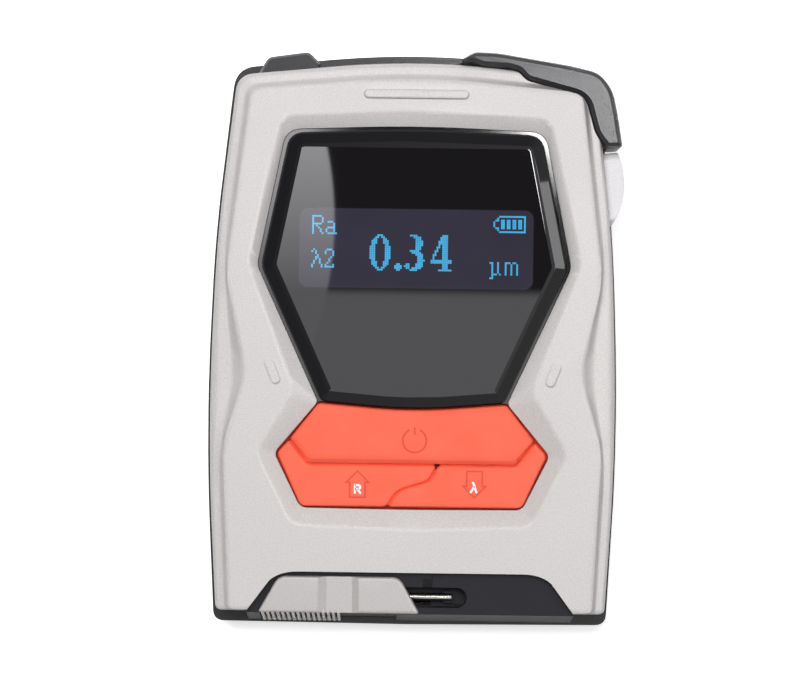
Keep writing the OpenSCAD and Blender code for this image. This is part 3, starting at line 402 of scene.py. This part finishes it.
MATERIALS = {
    "silver_shell": sprayed_silver("sprayed_silver_shell", "C2BFBE", "D3D0CF", 0.45),
    "silver_key": sprayed_silver("sprayed_silver_key", "C6C4C7", "D5D3D6", 0.4),
    "silver_slider": sprayed_silver("sprayed_silver_slider", "B6B2B1", "C6C2C1", 0.45),
    "dark_shell": spark_grained("spark_grained_abs", "29282B", "333236", 0.2, gloss=0.38),
    "bay_black": spark_grained("bay_floor_abs", "232226", "2A292E", 0.55, 0.2, 0.02, gloss=0.22),
    "black_frame": polished_black(),
    "dark_lens": smoked_acrylic(),
    "red_keys": moulded_silicone(),
    "steel": turned_metal("ground_stainless_steel", "B9B4AE", "D9D4CE", 0.24, 0.1, 0),
    "spring_steel": turned_metal("rolled_spring_steel", "A9A7A4", "C9C7C4", 0.3, 0.08, 0),
    "cast_alloy": spark_grained("cast_zinc_alloy", "8E8F91", "A9AAAC", 0.45, 0.3, 0.04, 1.0),
    "brass_part": turned_metal("turned_brass", "B98F45", "D9B365", 0.26, 0.08, 0),
    "gear_plastic": spark_grained("moulded_acetal_gear", "E6E4DC", "EFEDE6", 0.4),
    "motor_can": turned_metal("drawn_nickelled_can", "A5A3A0", "C4C2BE", 0.28, 0.1, 0),
    "pickup_grey": spark_grained(
        "blasted_aluminium_pickup", "7D7F82", "96989B", 0.4, 0.15, 0.02, 1.0
    ),
    "ruby": spark_grained("polished_ruby_skid", "8E1230", "A81A3C", 0.15, 0.2, 0.002),
    "diamond": spark_grained("ground_diamond_tip", "C9CED2", "DDE2E6", 0.12, 0.1, 0.002),
    "circuit_board": spark_grained("solder_masked_board", "14502F", "1B6039", 0.35, 0.4, 0.02),
    "chip_black": spark_grained("moulded_epoxy_chips", "1B1B1D", "242427", 0.55, 0.15, 0.01),
    "battery_foil": spark_grained("foil_pouch_cell", "A9ABAE", "BFC1C4", 0.35, 1.2, 0.06, 0.8),
    "foam": spark_grained("closed_cell_foam", "1C1C1D", "2A2A2B", 0.9, 0.35, 0.1),
    "display_glass": spark_grained("display_glass_pane", "0B0C12", "12131A", 0.12, 0.5, 0.002),
    "flex_film": spark_grained("polyimide_film", "A8641C", "BE7626", 0.35, 0.5, 0.01),
    "switch_white": spark_grained("moulded_switch_caps", "DEDDD8", "EBEAE5", 0.45),
    "screw_dark": spark_grained(
        "blackened_steel_screws", "2A2B2E", "3A3B3F", 0.35, 0.12, 0.01, 1.0
    ),
    "socket_tin": spark_grained("tinned_socket_shell", "B4B6B9", "CACCCF", 0.3, 0.3, 0.01, 1.0),
}

# The key marks' groove floors are coloured a darker red than the keys: painted shade in the
# grooves.
KEY_GROOVE_SHADE = matt_with_painted_shade("groove_in_silicone_painted_shade", "E2523D")
# The web between the keys is coloured a darker red than the keys: painted shade of the gaps.
KEY_WEB_SHADED = matt_with_painted_shade("silicone_web_painted_shade", "F0523A")
# The padlock's groove floor is coloured darker than the bay: painted shade in the groove.
BAY_GROOVE_SHADE = matt_with_painted_shade("groove_in_abs_painted_shade", "1D1C1F")
KEY_PRINT = spark_grained("pad_printed_white_ink", "F7F5F4", "FFFFFF", 0.5, 0.2, 0.01)

SLOT_OF = {part["node"]: part["material_slot"] for part in frame["record"]["subparts"]}
BODY_OF = {
    node: body
    for body, nodes in frame["record"]["behaviour"]["bodies"].items()
    for node in nodes
}

for node, carried in frame["nodes"].items():
    for held in carried.material_slots:
        held.material = MATERIALS[SLOT_OF[node]]


# skins of the CAD solids


def new_object(name, mesh, body, slot, material=None):
    """Puts a mesh in the scene, riding on its body and finished from its slot."""
    piece = bpy.data.objects.new(name, mesh)
    scene.collection.objects.link(piece)
    if not mesh.materials:
        mesh.materials.append(material or MATERIALS[slot])
    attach(piece, body)
    return piece


# A sharp turn's mitre is cut short below this cosine
MITRE_LIMIT = 0.3


def stroke(points, width, low, high, closed=False):
    """A closed solid band of even width along a line in the plan, mitred at its turns."""
    line = [Vector(p) for p in points]
    count = len(line)
    made = bmesh.new()
    rings = []
    for i, here in enumerate(line):
        ways = []
        if closed or i:
            ways.append((here - line[i - 1]).normalized())
        if closed or i < count - 1:
            ways.append((line[(i + 1) % count] - here).normalized())
        way = sum(ways, Vector((0, 0))).normalized()
        out = Vector((-way.y, way.x))
        reach = width / 2 / max(MITRE_LIMIT, out.dot(Vector((-ways[0].y, ways[0].x))))
        left, right = here + out * reach, here - out * reach
        rings.append([
            made.verts.new((left.x, left.y, low)),
            made.verts.new((right.x, right.y, low)),
            made.verts.new((right.x, right.y, high)),
            made.verts.new((left.x, left.y, high)),
        ])
    for i in range(count if closed else count - 1):
        a, b = rings[i], rings[(i + 1) % count]
        for j in range(4):
            k = (j + 1) % 4
            made.faces.new((a[j], a[k], b[k], b[j]))
    if not closed:
        made.faces.new(reversed(rings[0]))
        made.faces.new(rings[-1])
    bmesh.ops.recalc_face_normals(made, faces=made.faces)
    return made


def arc(centre, radius, first, last, count=40):
    """Points on a circle from one angle to another, in degrees."""
    return [
        centre
        + radius
        * Vector((math.cos(math.radians(a)), math.sin(math.radians(a))))
        for a in (first + (last - first) * i / count for i in range(count + 1))
    ]


def joined(parts):
    """Several bmesh parts as one mesh."""
    whole = bmesh.new()
    for part in parts:
        held = bpy.data.meshes.new("held")
        part.to_mesh(held)
        part.free()
        whole.from_mesh(held)
        bpy.data.meshes.remove(held)
    mesh = bpy.data.meshes.new("joined")
    whole.to_mesh(mesh)
    whole.free()
    return mesh


WELD = 0.0005 * MM
FLAT_ANGLE, CREST_ANGLE = math.radians(0.6), math.radians(60)
CREST_ROUND = 0.45 * MM


def dressed(node, edge=0.0, angle=28, cuts=(), groove=None, crest=None):
    """A welded copy of a CAD node: flat faces merged, curves shaded smooth, sharp edges broken.

    edge is the width of that break in millimetres, and turns over angle degrees stay sharp. cuts
    are closed solids that are engraved into the copy; their cut faces take the groove material,
    whose darker colour is painted shade. Steep edges that lie higher than crest are rounded over,
    as moulded ribs are.
    """
    work = bmesh.new()
    work.from_mesh(frame["nodes"][node].data)
    bmesh.ops.remove_doubles(work, verts=work.verts, dist=WELD)
    bmesh.ops.dissolve_limit(work, angle_limit=FLAT_ANGLE, verts=work.verts, edges=work.edges)
    if crest is not None:
        rims = [
            e
            for e in work.edges
            if min(v.co.z for v in e.verts) > crest and e.calc_face_angle(0) > CREST_ANGLE
        ]
        bmesh.ops.bevel(
            work, geom=rims, offset=CREST_ROUND, segments=4, profile=0.6, affect="EDGES"
        )
    mesh = bpy.data.meshes.new(node + "_skin")
    work.to_mesh(mesh)
    work.free()
    mesh.materials.clear()
    skin = new_object(node + "_skin", mesh, BODY_OF[node], SLOT_OF[node])
    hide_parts(node)
    if cuts:
        tool = bpy.data.objects.new("engraving", joined(cuts))
        tool.data.materials.append(groove)
        scene.collection.objects.link(tool)
        cut = skin.modifiers.new("engraving", "BOOLEAN")
        cut.operation, cut.solver, cut.object = "DIFFERENCE", "EXACT", tool
        cut.material_mode = "TRANSFER"
        cut.use_self = True
        bpy.context.view_layer.update()
        graph = bpy.context.evaluated_depsgraph_get()
        cut_mesh = bpy.data.meshes.new_from_object(skin.evaluated_get(graph))
        skin.modifiers.remove(cut)
        skin.data = cut_mesh
        bpy.data.objects.remove(tool)
    skin.data.shade_smooth()
    skin.data.set_sharp_from_angle(angle=math.radians(angle))
    if edge:
        broken = skin.modifiers.new("broken_edges", "BEVEL")
        broken.width = edge * MM
        broken.segments = 2
        broken.limit_method = "ANGLE"
        broken.angle_limit = math.radians(angle)
        broken.harden_normals = True
        broken.use_clamp_overlap = True
    level = skin.modifiers.new("face_weighted_shading", "WEIGHTED_NORMAL")
    level.keep_sharp = True
    return skin


# Moulded marks: their width is in millimetres, like the places that they are drawn from
MARK_DEPTH = 0.05 * MM
MARK_WIDTH = 0.3
CUT_REACH = 0.9 * MM
INK_RISE = 0.01 * MM
# The on-off ring starts and ends beside its bar, in degrees from +X
RING_FIRST, RING_LAST = 116, 424


def engraved(points, top, closed=False, width=MARK_WIDTH):
    """A groove's solid along a line, MARK_DEPTH deep under a flat top."""
    line = [Vector(p) * MM for p in points]
    return stroke(line, width * MM, top - MARK_DEPTH, top + CUT_REACH, closed)


def power_mark(centre, radius, top):
    """The open ring with its short bar: the common on-off mark."""
    x, y = centre
    return [
        engraved(arc(Vector(centre), radius, RING_FIRST, RING_LAST), top),
        engraved([(x, y + 0.5 * radius), (x, y + 1.12 * radius)], top),
    ]


def arrow_mark(centre, way, top):
    """A broad outlined arrow, pointing up for way 1 and down for way -1."""
    x, y = centre
    half, shaft, tall, shoulder = 2.0, 1.38, 2.35, 0.3
    half_outline = [(half, shoulder), (shaft, shoulder), (shaft, -tall)]
    right = [(x + across, y + way * along) for across, along in half_outline]
    left = [(x - across, y + way * along) for across, along in reversed(half_outline)]
    return [engraved([(x, y + way * tall), *right, *left], top, closed=True)]


def padlock_mark(centre, top):
    """An open padlock: a tapered body and its shackle swung out to the right."""
    x, y = centre
    body = [(x - 0.85, y + 0.75), (x + 0.85, y + 0.75), (x + 0.6, y - 0.75), (x - 0.6, y - 0.75)]
    shackle = arc(Vector((x + 1.75, y + 0.75)), 0.95, 180, 20, 14)
    return [
        engraved(body, top, closed=True),
        engraved([(x - 0.35, y + 0.6), (x - 0.35, y - 0.6)], top, width=0.2),
        engraved([(x + 0.35, y + 0.6), (x + 0.35, y - 0.6)], top, width=0.2),
        engraved(shackle, top, width=0.34),
    ]


def printed(name, lines, centre, top, width, body):
    """Ink on a flat top: bold strokes of one even width, a hair thick."""
    placed = [[(Vector(p) + Vector(centre)) * MM for p in line] for line in lines]
    parts = [stroke(line, width * MM, top, top + INK_RISE) for line in placed]
    return new_object(name, joined(parts), body, "silver_key", KEY_PRINT)


power_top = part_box("power_key")[1].z
lower_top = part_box("up_key")[1].z
bay_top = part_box("bay_block")[1].z
crest_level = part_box("front_shell")[1].z - 0.05 * MM
# Where the marks stand, in millimetres, read off the object's face
POWER_CENTRE = (0.45, -18.3)
UP_CENTRE, DOWN_CENTRE = (-9.6, -26.15), (11.2, -26.0)
PADLOCK_CENTRE = (3.1, -43.7)

# How wide the sharp edges are broken, in millimetres
EDGES = {
    "rear_shell": 0.0,
    "bezel_frame": 0.08,
    "start_key": 0.1,
    "slider_cover": 0.08,
    "guide_bar": 0.05,
    "shutter": 0.05,
    "usb_socket": 0.0,
}
for node, edge in EDGES.items():
    dressed(node, edge)
dressed("lens", 0.2, angle=3)
dressed("front_shell", crest=crest_level)
# The engraved marks take the darker groove colour on their cut faces: painted shade in the grooves.
dressed("bay_block", cuts=padlock_mark(PADLOCK_CENTRE, bay_top), groove=BAY_GROOVE_SHADE)
dressed("power_key", 0.1, cuts=power_mark(POWER_CENTRE, 2.1, power_top), groove=KEY_GROOVE_SHADE)
dressed("up_key", 0.1, cuts=arrow_mark(UP_CENTRE, 1, lower_top), groove=KEY_GROOVE_SHADE)
dressed("down_key", 0.1, cuts=arrow_mark(DOWN_CENTRE, -1, lower_top), groove=KEY_GROOVE_SHADE)


def rim_points(node, level, step):
    """Points round a key at one level, a step apart, from its CAD solid."""
    work = bmesh.new()
    work.from_mesh(frame["nodes"][node].data)
    cut = bmesh.ops.bisect_plane(
        work,
        geom=[*work.verts, *work.edges, *work.faces],
        plane_co=(0, 0, level),
        plane_no=(0, 0, 1),
    )
    points = []
    for edge in (e for e in cut["geom_cut"] if isinstance(e, bmesh.types.BMEdge)):
        first, last = (v.co.xy.copy() for v in edge.verts)
        count = max(1, round((last - first).length / step))
        points += [first.lerp(last, i / count) for i in range(count)]
    work.free()
    return points


def key_web(one, other):
    """The rubber web low in the gap between two keys, which are moulded as one mat; its darker red
    is painted shade of the gap.
    """
    rims = [rim_points(node, WEB_TOP, WEB_STEP) for node in (one, other)]
    tree = KDTree(len(rims[1]))
    for i, point in enumerate(rims[1]):
        tree.insert(point.to_3d(), i)
    tree.balance()
    middle = []
    for point in rims[0]:
        near, _, gap = tree.find(point.to_3d())
        if gap < WEB_REACH:
            middle.append(point.lerp(near.xy, 0.5))
    middle.sort(key=lambda p: p.x)
    line = middle[:1]
    for point in middle:
        if (point - line[-1]).length > 0.8 * WEB_STEP:
            line.append(point)
    mesh = joined([stroke(line, WEB_WIDTH, WEB_TOP - WEB_TALL, WEB_TOP)])
    return new_object(f"web_{one}_{other}", mesh, BODY_OF["bezel_frame"], "red_keys", KEY_WEB_SHADED)


# The web's top is level with a lower key that is fully pressed
WEB_TOP = lower_top - 0.62 * MM
WEB_TALL, WEB_WIDTH = 1.0 * MM, 0.29 * MM
WEB_REACH, WEB_STEP = 0.5 * MM, 0.5 * MM
for pair in (("up_key", "down_key"), ("up_key", "power_key"), ("down_key", "power_key")):
    key_web(*pair)


# Under the keys the frame's well is lined with the same rubber, which shows round their rim; its
# darker red is painted shade of the gaps
frame_skin = bpy.data.objects["bezel_frame_skin"]
frame_skin.data.materials.append(KEY_WEB_SHADED)
well_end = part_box("power_key")[1].y - 1.5 * MM
for face in frame_skin.data.polygons:
    if face.center.y < well_end and face.center.z < lower_top - 0.8 * MM:
        face.material_index = 1

# The upper lip of the bay runs out a little over the block, nearly to the slider
LIP_Y, LIP_BLEND, LIP_REACH = -40.9 * MM, 2.4 * MM, 0.85 * MM
LIP_LOW, LIP_HALF = 21.8 * MM, 28 * MM
for point in bpy.data.objects["front_shell_skin"].data.vertices:
    x, y, z = point.co
    near = 1 - (LIP_Y - y) / LIP_BLEND
    if 0 < near <= 1.02 and z > LIP_LOW and abs(x) < LIP_HALF:
        point.co.y = y - LIP_REACH * near

# The letters of the two lower keys: roughness value and cut-off
LETTER_R = [
    [(-0.5, -0.85), (-0.5, 0.85)],
    [
        (-0.5, 0.66), (0.1, 0.66), (0.38, 0.54), (0.44, 0.34),
        (0.38, 0.12), (0.1, -0.02), (-0.5, -0.02),
    ],
    [(0.0, -0.05), (0.52, -0.85)],
]
LETTER_LAMBDA = [
    [(-0.28, 0.98), (-0.08, 0.92), (0.06, 0.6), (0.46, -0.7), (0.62, -0.86)],
    [(0.12, 0.28), (-0.56, -0.86)],
]
INK_WIDTH = 0.36
printed("roughness_letter", LETTER_R, (-9.55, -27.0), lower_top, INK_WIDTH, "up_key")
printed("cutoff_letter", LETTER_LAMBDA, (11.05, -26.6), lower_top, INK_WIDTH, "down_key")


# display marks

DOT = 0.34 * MM
DOT_SIDE = 0.92 * DOT
DOT_RISE = 0.012 * MM
lens_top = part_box("lens")[1].z

# Thin marks as strokes over the display's own dots, counted from each mark's lower left dot
THIN_STROKES = {
    "R": [[(0, 0), (0, 9)], [(0, 9), (4, 9)], [(5, 8), (5, 6)], [(0, 5), (4, 5)], [(2, 4), (5, 0)]],
    "a": [
        [(1, 6), (3, 6)], [(4, 5), (4, 0)], [(1, 3), (3, 3)],
        [(0, 2), (0, 1)], [(1, 0), (3, 0)], [(5, 0), (5, 0)],
    ],
    "lambda": [[(0, 8), (1, 9)], [(2, 8), (5, 0)], [(2, 5), (0, 0)]],
    "2": [
        [(0, 7), (1, 9)], [(1, 9), (3, 9)], [(4, 8), (4, 6)],
        [(3, 5), (0, 1)], [(0, 0), (4, 0)], [(4, 1), (4, 1)],
    ],
    "mu": [
        [(1, 6), (1, -2)], [(2, 0), (3, 0)], [(4, 1), (4, 6)],
        [(5, 0), (5, 0)], [(0, 6), (0, 6)], [(0, -2), (0, -2)],
    ],
    "m": [[(0, 6), (0, 0)], [(1, 6), (2, 6)], [(3, 5), (3, 0)], [(4, 6), (5, 6)], [(6, 5), (6, 0)]],
    "battery": [
        [(3, 0), (16, 0)], [(16, 0), (16, 8)], [(3, 8), (16, 8)],
        [(2, 1), (2, 2)], [(2, 6), (2, 7)], [(1, 2), (0, 3)], [(0, 3), (0, 5)], [(0, 5), (1, 6)],
        [(4, 2), (4, 6)], [(5, 2), (5, 6)], [(7, 2), (7, 6)], [(8, 2), (8, 6)],
        [(10, 2), (10, 6)], [(11, 2), (11, 6)], [(13, 2), (13, 6)], [(14, 2), (14, 6)],
    ],
}


def dots_of(strokes):
    """The display dots that strokes between whole-numbered places light."""
    lit = set()
    for (x0, y0), (x1, y1) in strokes:
        count = max(abs(x1 - x0), abs(y1 - y0), 1)
        lit |= {
            (round(x0 + (x1 - x0) * i / count), round(y0 + (y1 - y0) * i / count))
            for i in range(count + 1)
        }
    return lit


def side_by_side(first, second, gap):
    """The dots of two thin marks, the second gap dots further right."""
    return dots_of(THIN_STROKES[first]) | {
        (x + gap, y) for x, y in dots_of(THIN_STROKES[second])
    }


def in_oval(x, y, cx, cy, rx, ry):
    """Whether a dot lies inside an upright oval."""
    return ((x - cx) / rx) ** 2 + ((y - cy) / ry) ** 2 <= 1


# The bold figures of the reading, as tests of a dot counted from their lower left


def bold_zero(x, y):
    return in_oval(x, y, 5, 9, 5.4, 9.6) and not in_oval(x, y, 5, 9, 2.3, 8.6)


def bold_point(x, y):
    return in_oval(x, y, 1.5, 1.2, 1.9, 1.9)


def bold_three(x, y):
    upper = in_oval(x, y, 4.6, 13.8, 4.6, 4.9) and not in_oval(x, y, 3.0, 13.4, 2.9, 4.2)
    lower = in_oval(x, y, 4.4, 5.0, 5.6, 5.4) and not in_oval(x, y, 2.6, 5.2, 3.9, 4.4)
    upper, lower = upper and (x > 3 or y > 14.5), lower and (x > 2.5 or y < 3)
    return upper or lower or in_oval(x, y, 1.4, 2.0, 1.5, 1.5)


def bold_four(x, y):
    stem = 6 <= x <= 8 and 0 <= y <= 18
    bar = 0 <= x <= 10 and 4 <= y <= 5
    slope = 0 <= x <= 6 and 5 <= y <= 18 and abs((y - 5) - (x - 0.4) * 13 / 5.6) <= 1.7
    foot = 4 <= x <= 10 and y == 0
    return stem or bar or slope or foot


# Each figure and how many dots it stands from the left
BOLD_MARKS = [(bold_zero, 0), (bold_point, 12.6), (bold_three, 18.4), (bold_four, 31.6)]
FIGURE_DOTS = [(x, y) for x in range(-2, 13) for y in range(-3, 22)]


def lit_mark(name, dots, left, low):
    """Lit dots of the display as thin square tiles on the lens, from a lower left corner."""
    made = bmesh.new()
    for x, y in sorted(dots):
        place = Matrix.Translation(
            (left * MM + (x + 0.5) * DOT, low * MM + (y + 0.5) * DOT, lens_top)
        )
        size = Matrix.Diagonal((DOT_SIDE, DOT_SIDE, 2 * DOT_RISE, 1))
        bmesh.ops.create_cube(made, size=1, matrix=place @ size)
    mesh = bpy.data.meshes.new(name)
    made.to_mesh(mesh)
    made.free()
    return new_object(name, mesh, "housing", "display_glass", LIT)


LIT = lit_blue()
reading = {
    (round(x + start), y) for test, start in BOLD_MARKS for x, y in FIGURE_DOTS if test(x, y)
}
lit_mark("reading_digits", reading, -8.0, 11.85)
lit_mark("parameter_mark", side_by_side("R", "a", 7), -18.25, 18.2)
lit_mark("range_mark", side_by_side("lambda", "2", 7), -18.35, 12.25)
lit_mark("unit_mark", side_by_side("mu", "m", 8), 13.35, 11.25)
lit_mark("battery_mark", dots_of(THIN_STROKES["battery"]), 13.95, 18.8)


# studio


def softbox(name, place, width, height, power, mirrored=True):
    """A rectangular studio light in metres and watts, aimed at the origin, unseen by the camera."""
    data = bpy.data.lights.new(name, "AREA")
    data.shape, data.size, data.size_y, data.energy = "RECTANGLE", width, height, power
    lamp = bpy.data.objects.new(name, data)
    lamp.location = place
    lamp.rotation_mode = "QUATERNION"
    lamp.rotation_quaternion = (-Vector(place)).to_track_quat("-Z", "Y")
    lamp.visible_camera = False
    lamp.visible_glossy = mirrored
    scene.collection.objects.link(lamp)


def studio_world():
    """White behind the object and in its reflections, and a plain soft fill on it."""
    world = bpy.data.worlds.new("white_studio")
    scene.world = world
    world.use_nodes = True
    tree = world.node_tree
    tree.nodes.clear()
    path = add(tree, "LightPath")
    seen = add(
        tree,
        "Math",
        {0: path.outputs["Is Camera Ray"], 1: path.outputs["Is Glossy Ray"]},
        operation="MAXIMUM",
    )
    through = add(
        tree,
        "Math",
        {0: seen.outputs[0], 1: path.outputs["Is Transmission Ray"]},
        operation="MAXIMUM",
    )
    level = add(
        tree,
        "MapRange",
        {"Value": through.outputs[0], "To Min": FILL_LEVEL, "To Max": 1.0},
    )
    back = add(tree, "Background", {"Color": (1, 1, 1, 1), "Strength": level.outputs[0]})
    add(tree, "OutputWorld", {"Surface": back.outputs[0]})


FILL_LEVEL = 0.12
studio_world()
# The main light from above, a weak one from the right, the sheen on the guard, and the back's own
softbox("top_light", (-0.12, 0.2, 0.66), 0.34, 0.34, 4.0, mirrored=False)
softbox("side_light", (0.55, 0.08, 0.97), 0.2, 0.6, 1.6)
softbox("corner_light", (0.075, 0.086, 0.64), 0.06, 0.06, 0.42)
softbox("back_light", (-0.15, 0.1, -0.5), 0.5, 0.5, 3.6, mirrored=False)


def flat_plane(name, centre, width, depth, material, window=()):
    """A level rectangle facing up, with a window in it if its outline is given."""
    across, along = width / 2, depth / 2
    edge = [(-across, -along), (across, -along), (across, along), (-across, along)]
    loops = [[Vector((x, y, 0)) for x, y in loop] for loop in (edge, window) if loop]
    made = bmesh.new()
    corners = [made.verts.new(point) for loop in loops for point in loop]
    for triple in tessellate_polygon(loops):
        made.faces.new([corners[i] for i in triple])
    made.normal_update()
    for face in made.faces:
        if face.normal.z < 0:
            face.normal_flip()
    mesh = bpy.data.meshes.new(name)
    made.to_mesh(mesh)
    made.free()
    mesh.materials.append(material)
    plane = bpy.data.objects.new(name, mesh)
    plane.location = centre
    scene.collection.objects.link(plane)
    return plane


def white_paper():
    """Matt white paper under the object: it keeps the shadow, and is clear from below."""
    made, tree, place = start_material("white_paper_floor")
    fibre = add(
        tree, "TexNoise", {"Vector": place, "Scale": 1 / (3 * MM), "Detail": 2.0}
    )
    shade = add(
        tree,
        "Mix",
        {0: fibre.outputs[0], 6: linear("FCFCFC"), 7: linear("FFFFFF")},
        data_type="RGBA",
    )
    seen = add(tree, "LightPath")
    lift = add(
        tree, "Math", {0: seen.outputs["Is Camera Ray"], 1: PAPER_LIFT}, operation="MULTIPLY"
    )
    paper = add(
        tree,
        "BsdfPrincipled",
        {
            "Base Color": shade.outputs[2],
            "Roughness": 0.9,
            "Emission Color": (1, 1, 1, 1),
            "Emission Strength": lift.outputs[0],
        },
    )
    clear = add(tree, "BsdfTransparent")
    side = add(tree, "NewGeometry")
    surface = add(
        tree,
        "MixShader",
        {0: side.outputs["Backfacing"], 1: paper.outputs[0], 2: clear.outputs[0]},
    )
    return close_material(made, tree, surface)


# What the camera sees on top of the lit paper, so that it reads white and keeps the shadow
PAPER_LIFT = 0.6


def resting_outline(node):
    """The outline of the flat on which a node rests, for the window in the paper."""
    cad = frame["nodes"][node]
    low = [cad.matrix_world @ vertex.co for vertex in cad.data.vertices]
    flat = [(point.x, point.y) for point in low if point.z < RESTING_HEIGHT]
    return [flat[i] for i in convex_hull_2d(flat)]


# The window lies under the object, so nothing but its back is lit through it
RESTING_HEIGHT = 0.02 * MM
PAPER_SIDE = 6.0
flat_plane(
    "paper_floor",
    (0, 0, -0.02 * MM),
    PAPER_SIDE,
    PAPER_SIDE,
    white_paper(),
    resting_outline("rear_shell"),
)


def only_mirrored(thing):
    """Leaves a thing to reflections: the camera and the lamps look through it."""
    thing.visible_camera = thing.visible_diffuse = thing.visible_shadow = False
    thing.visible_transmission = False


def reflected_room():
    """What the polished lens mirrors: a dark room above the camera, a window at its left and below.

    The card hangs above the camera and only reflections see it. The lens folds it to a little
    under half its size about CARD_CENTRE, so the shapes are written in lens millimetres.
    """
    made, tree, place = start_material("reflected_room_card")
    spot = add(tree, "SeparateXYZ", {0: place})
    across = add(
        tree, "Math", {0: spot.outputs[0], 1: 1 / (CARD_FOLD * MM)}, operation="MULTIPLY"
    )
    along = add(
        tree, "Math", {0: spot.outputs[1], 1: 1 / (CARD_FOLD * MM)}, operation="MULTIPLY"
    )
    low = add(
        tree,
        "MapRange",
        {
            "Value": along.outputs[0],
            "From Min": LOW_FROM,
            "From Max": LOW_TO,
            "To Min": LOW_GLOW,
            "To Max": DARK_GLOW,
        },
        interpolation_type="SMOOTHSTEP",
    )
    off = add(tree, "Math", {0: along.outputs[0], 1: WINDOW_MIDDLE}, operation="SUBTRACT")
    bow = add(tree, "Math", {0: off.outputs[0], 1: off.outputs[0]}, operation="MULTIPLY")
    edge = add(
        tree, "Math", {0: bow.outputs[0], 1: WINDOW_BOW, 2: WINDOW_EDGE}, operation="MULTIPLY_ADD"
    )
    gap = add(
        tree, "Math", {0: across.outputs[0], 1: edge.outputs[0]}, operation="SUBTRACT"
    )
    window = add(
        tree,
        "MapRange",
        {"Value": gap.outputs[0], "From Min": -0.5, "From Max": 0.1, "To Min": 1.0, "To Max": 0.0},
        interpolation_type="SMOOTHSTEP",
    )
    pale = add(
        tree,
        "MapRange",
        {
            "Value": along.outputs[0],
            "From Min": WINDOW_FOOT,
            "From Max": WINDOW_HEAD,
            "To Min": FOOT_GLOW,
            "To Max": HEAD_GLOW,
        },
    )
    glow = add(
        tree,
        "Mix",
        {0: window.outputs[0], 2: low.outputs[0], 3: pale.outputs[0]},
        data_type="FLOAT",
    )
    surface = add(
        tree, "Emission", {"Color": (1.0, 0.98, 1.0, 1.0), "Strength": glow.outputs[0]}
    )
    return close_material(made, tree, surface)


CARD_HEIGHT = 900 * MM
CARD_FOLD = 2.467
CARD_CENTRE = Vector((3.5, 0.9)) * MM
# The pale strip along the lower end fades out from LOW_FROM to LOW_TO
LOW_FROM, LOW_TO = 7.0, 9.2
LOW_GLOW, DARK_GLOW = 2.0, 0.12
# The window's right edge bows left away from WINDOW_MIDDLE, and its glow grows upward
WINDOW_EDGE, WINDOW_BOW, WINDOW_MIDDLE = -14.1, -0.008, 20.0
WINDOW_FOOT, WINDOW_HEAD = 8.0, 34.0
FOOT_GLOW, HEAD_GLOW = 2.2, 7.0
card = flat_plane(
    "reflected_room_card", (*CARD_CENTRE, CARD_HEIGHT), 0.170, 0.240, reflected_room()
)
only_mirrored(card)


def room_walls():
    """What glossy surfaces see of the rest of the room: dim, a little lighter to the right.

    A pale patch of ceiling right of the zenith gives the dark plastic its soft sheen.
    """
    made, tree, place = start_material("reflected_room_walls")
    spot = add(tree, "SeparateXYZ", {0: place})
    turned = add(
        tree,
        "Math",
        {0: spot.outputs[1], 1: BRIGHT_TURN, 2: spot.outputs[0]},
        operation="MULTIPLY_ADD",
    )
    side = add(
        tree,
        "MapRange",
        {
            "Value": turned.outputs[0],
            "From Min": -0.5 * WALL_REACH,
            "From Max": 0.5 * WALL_REACH,
            "To Min": WALL_GLOW,
            "To Max": BRIGHT_GLOW,
        },
    )
    high = add(
        tree,
        "MapRange",
        {"Value": spot.outputs[2], "From Min": 0.9 * WALL_REACH, "From Max": 0.97 * WALL_REACH},
    )
    right = add(
        tree,
        "MapRange",
        {"Value": spot.outputs[0], "From Min": -0.05 * WALL_REACH, "From Max": 0.1 * WALL_REACH},
    )
    ceiling = add(
        tree, "Math", {0: high.outputs[0], 1: right.outputs[0]}, operation="MULTIPLY"
    )
    glow = add(
        tree,
        "Math",
        {0: ceiling.outputs[0], 1: CEILING_GLOW, 2: side.outputs[0]},
        operation="MULTIPLY_ADD",
    )
    surface = add(
        tree, "Emission", {"Color": (1.0, 0.99, 0.98, 1.0), "Strength": glow.outputs[0]}
    )
    return close_material(made, tree, surface)


WALL_REACH = 2.0
WALL_GLOW, BRIGHT_GLOW, CEILING_GLOW = 0.2, 0.6, 0.5
# Y counts this much against X, so the brighter wall is the one to the lower right
BRIGHT_TURN = -0.6
half_dome = bmesh.new()
bmesh.ops.create_uvsphere(half_dome, u_segments=48, v_segments=24, radius=WALL_REACH)
below = [v for v in half_dome.verts if v.co.z < -0.01 * WALL_REACH]
bmesh.ops.delete(half_dome, geom=below, context="VERTS")
wall_mesh = bpy.data.meshes.new("reflected_room_walls")
half_dome.to_mesh(wall_mesh)
half_dome.free()
wall_mesh.materials.append(room_walls())
walls = bpy.data.objects.new("reflected_room_walls", wall_mesh)
scene.collection.objects.link(walls)
only_mirrored(walls)
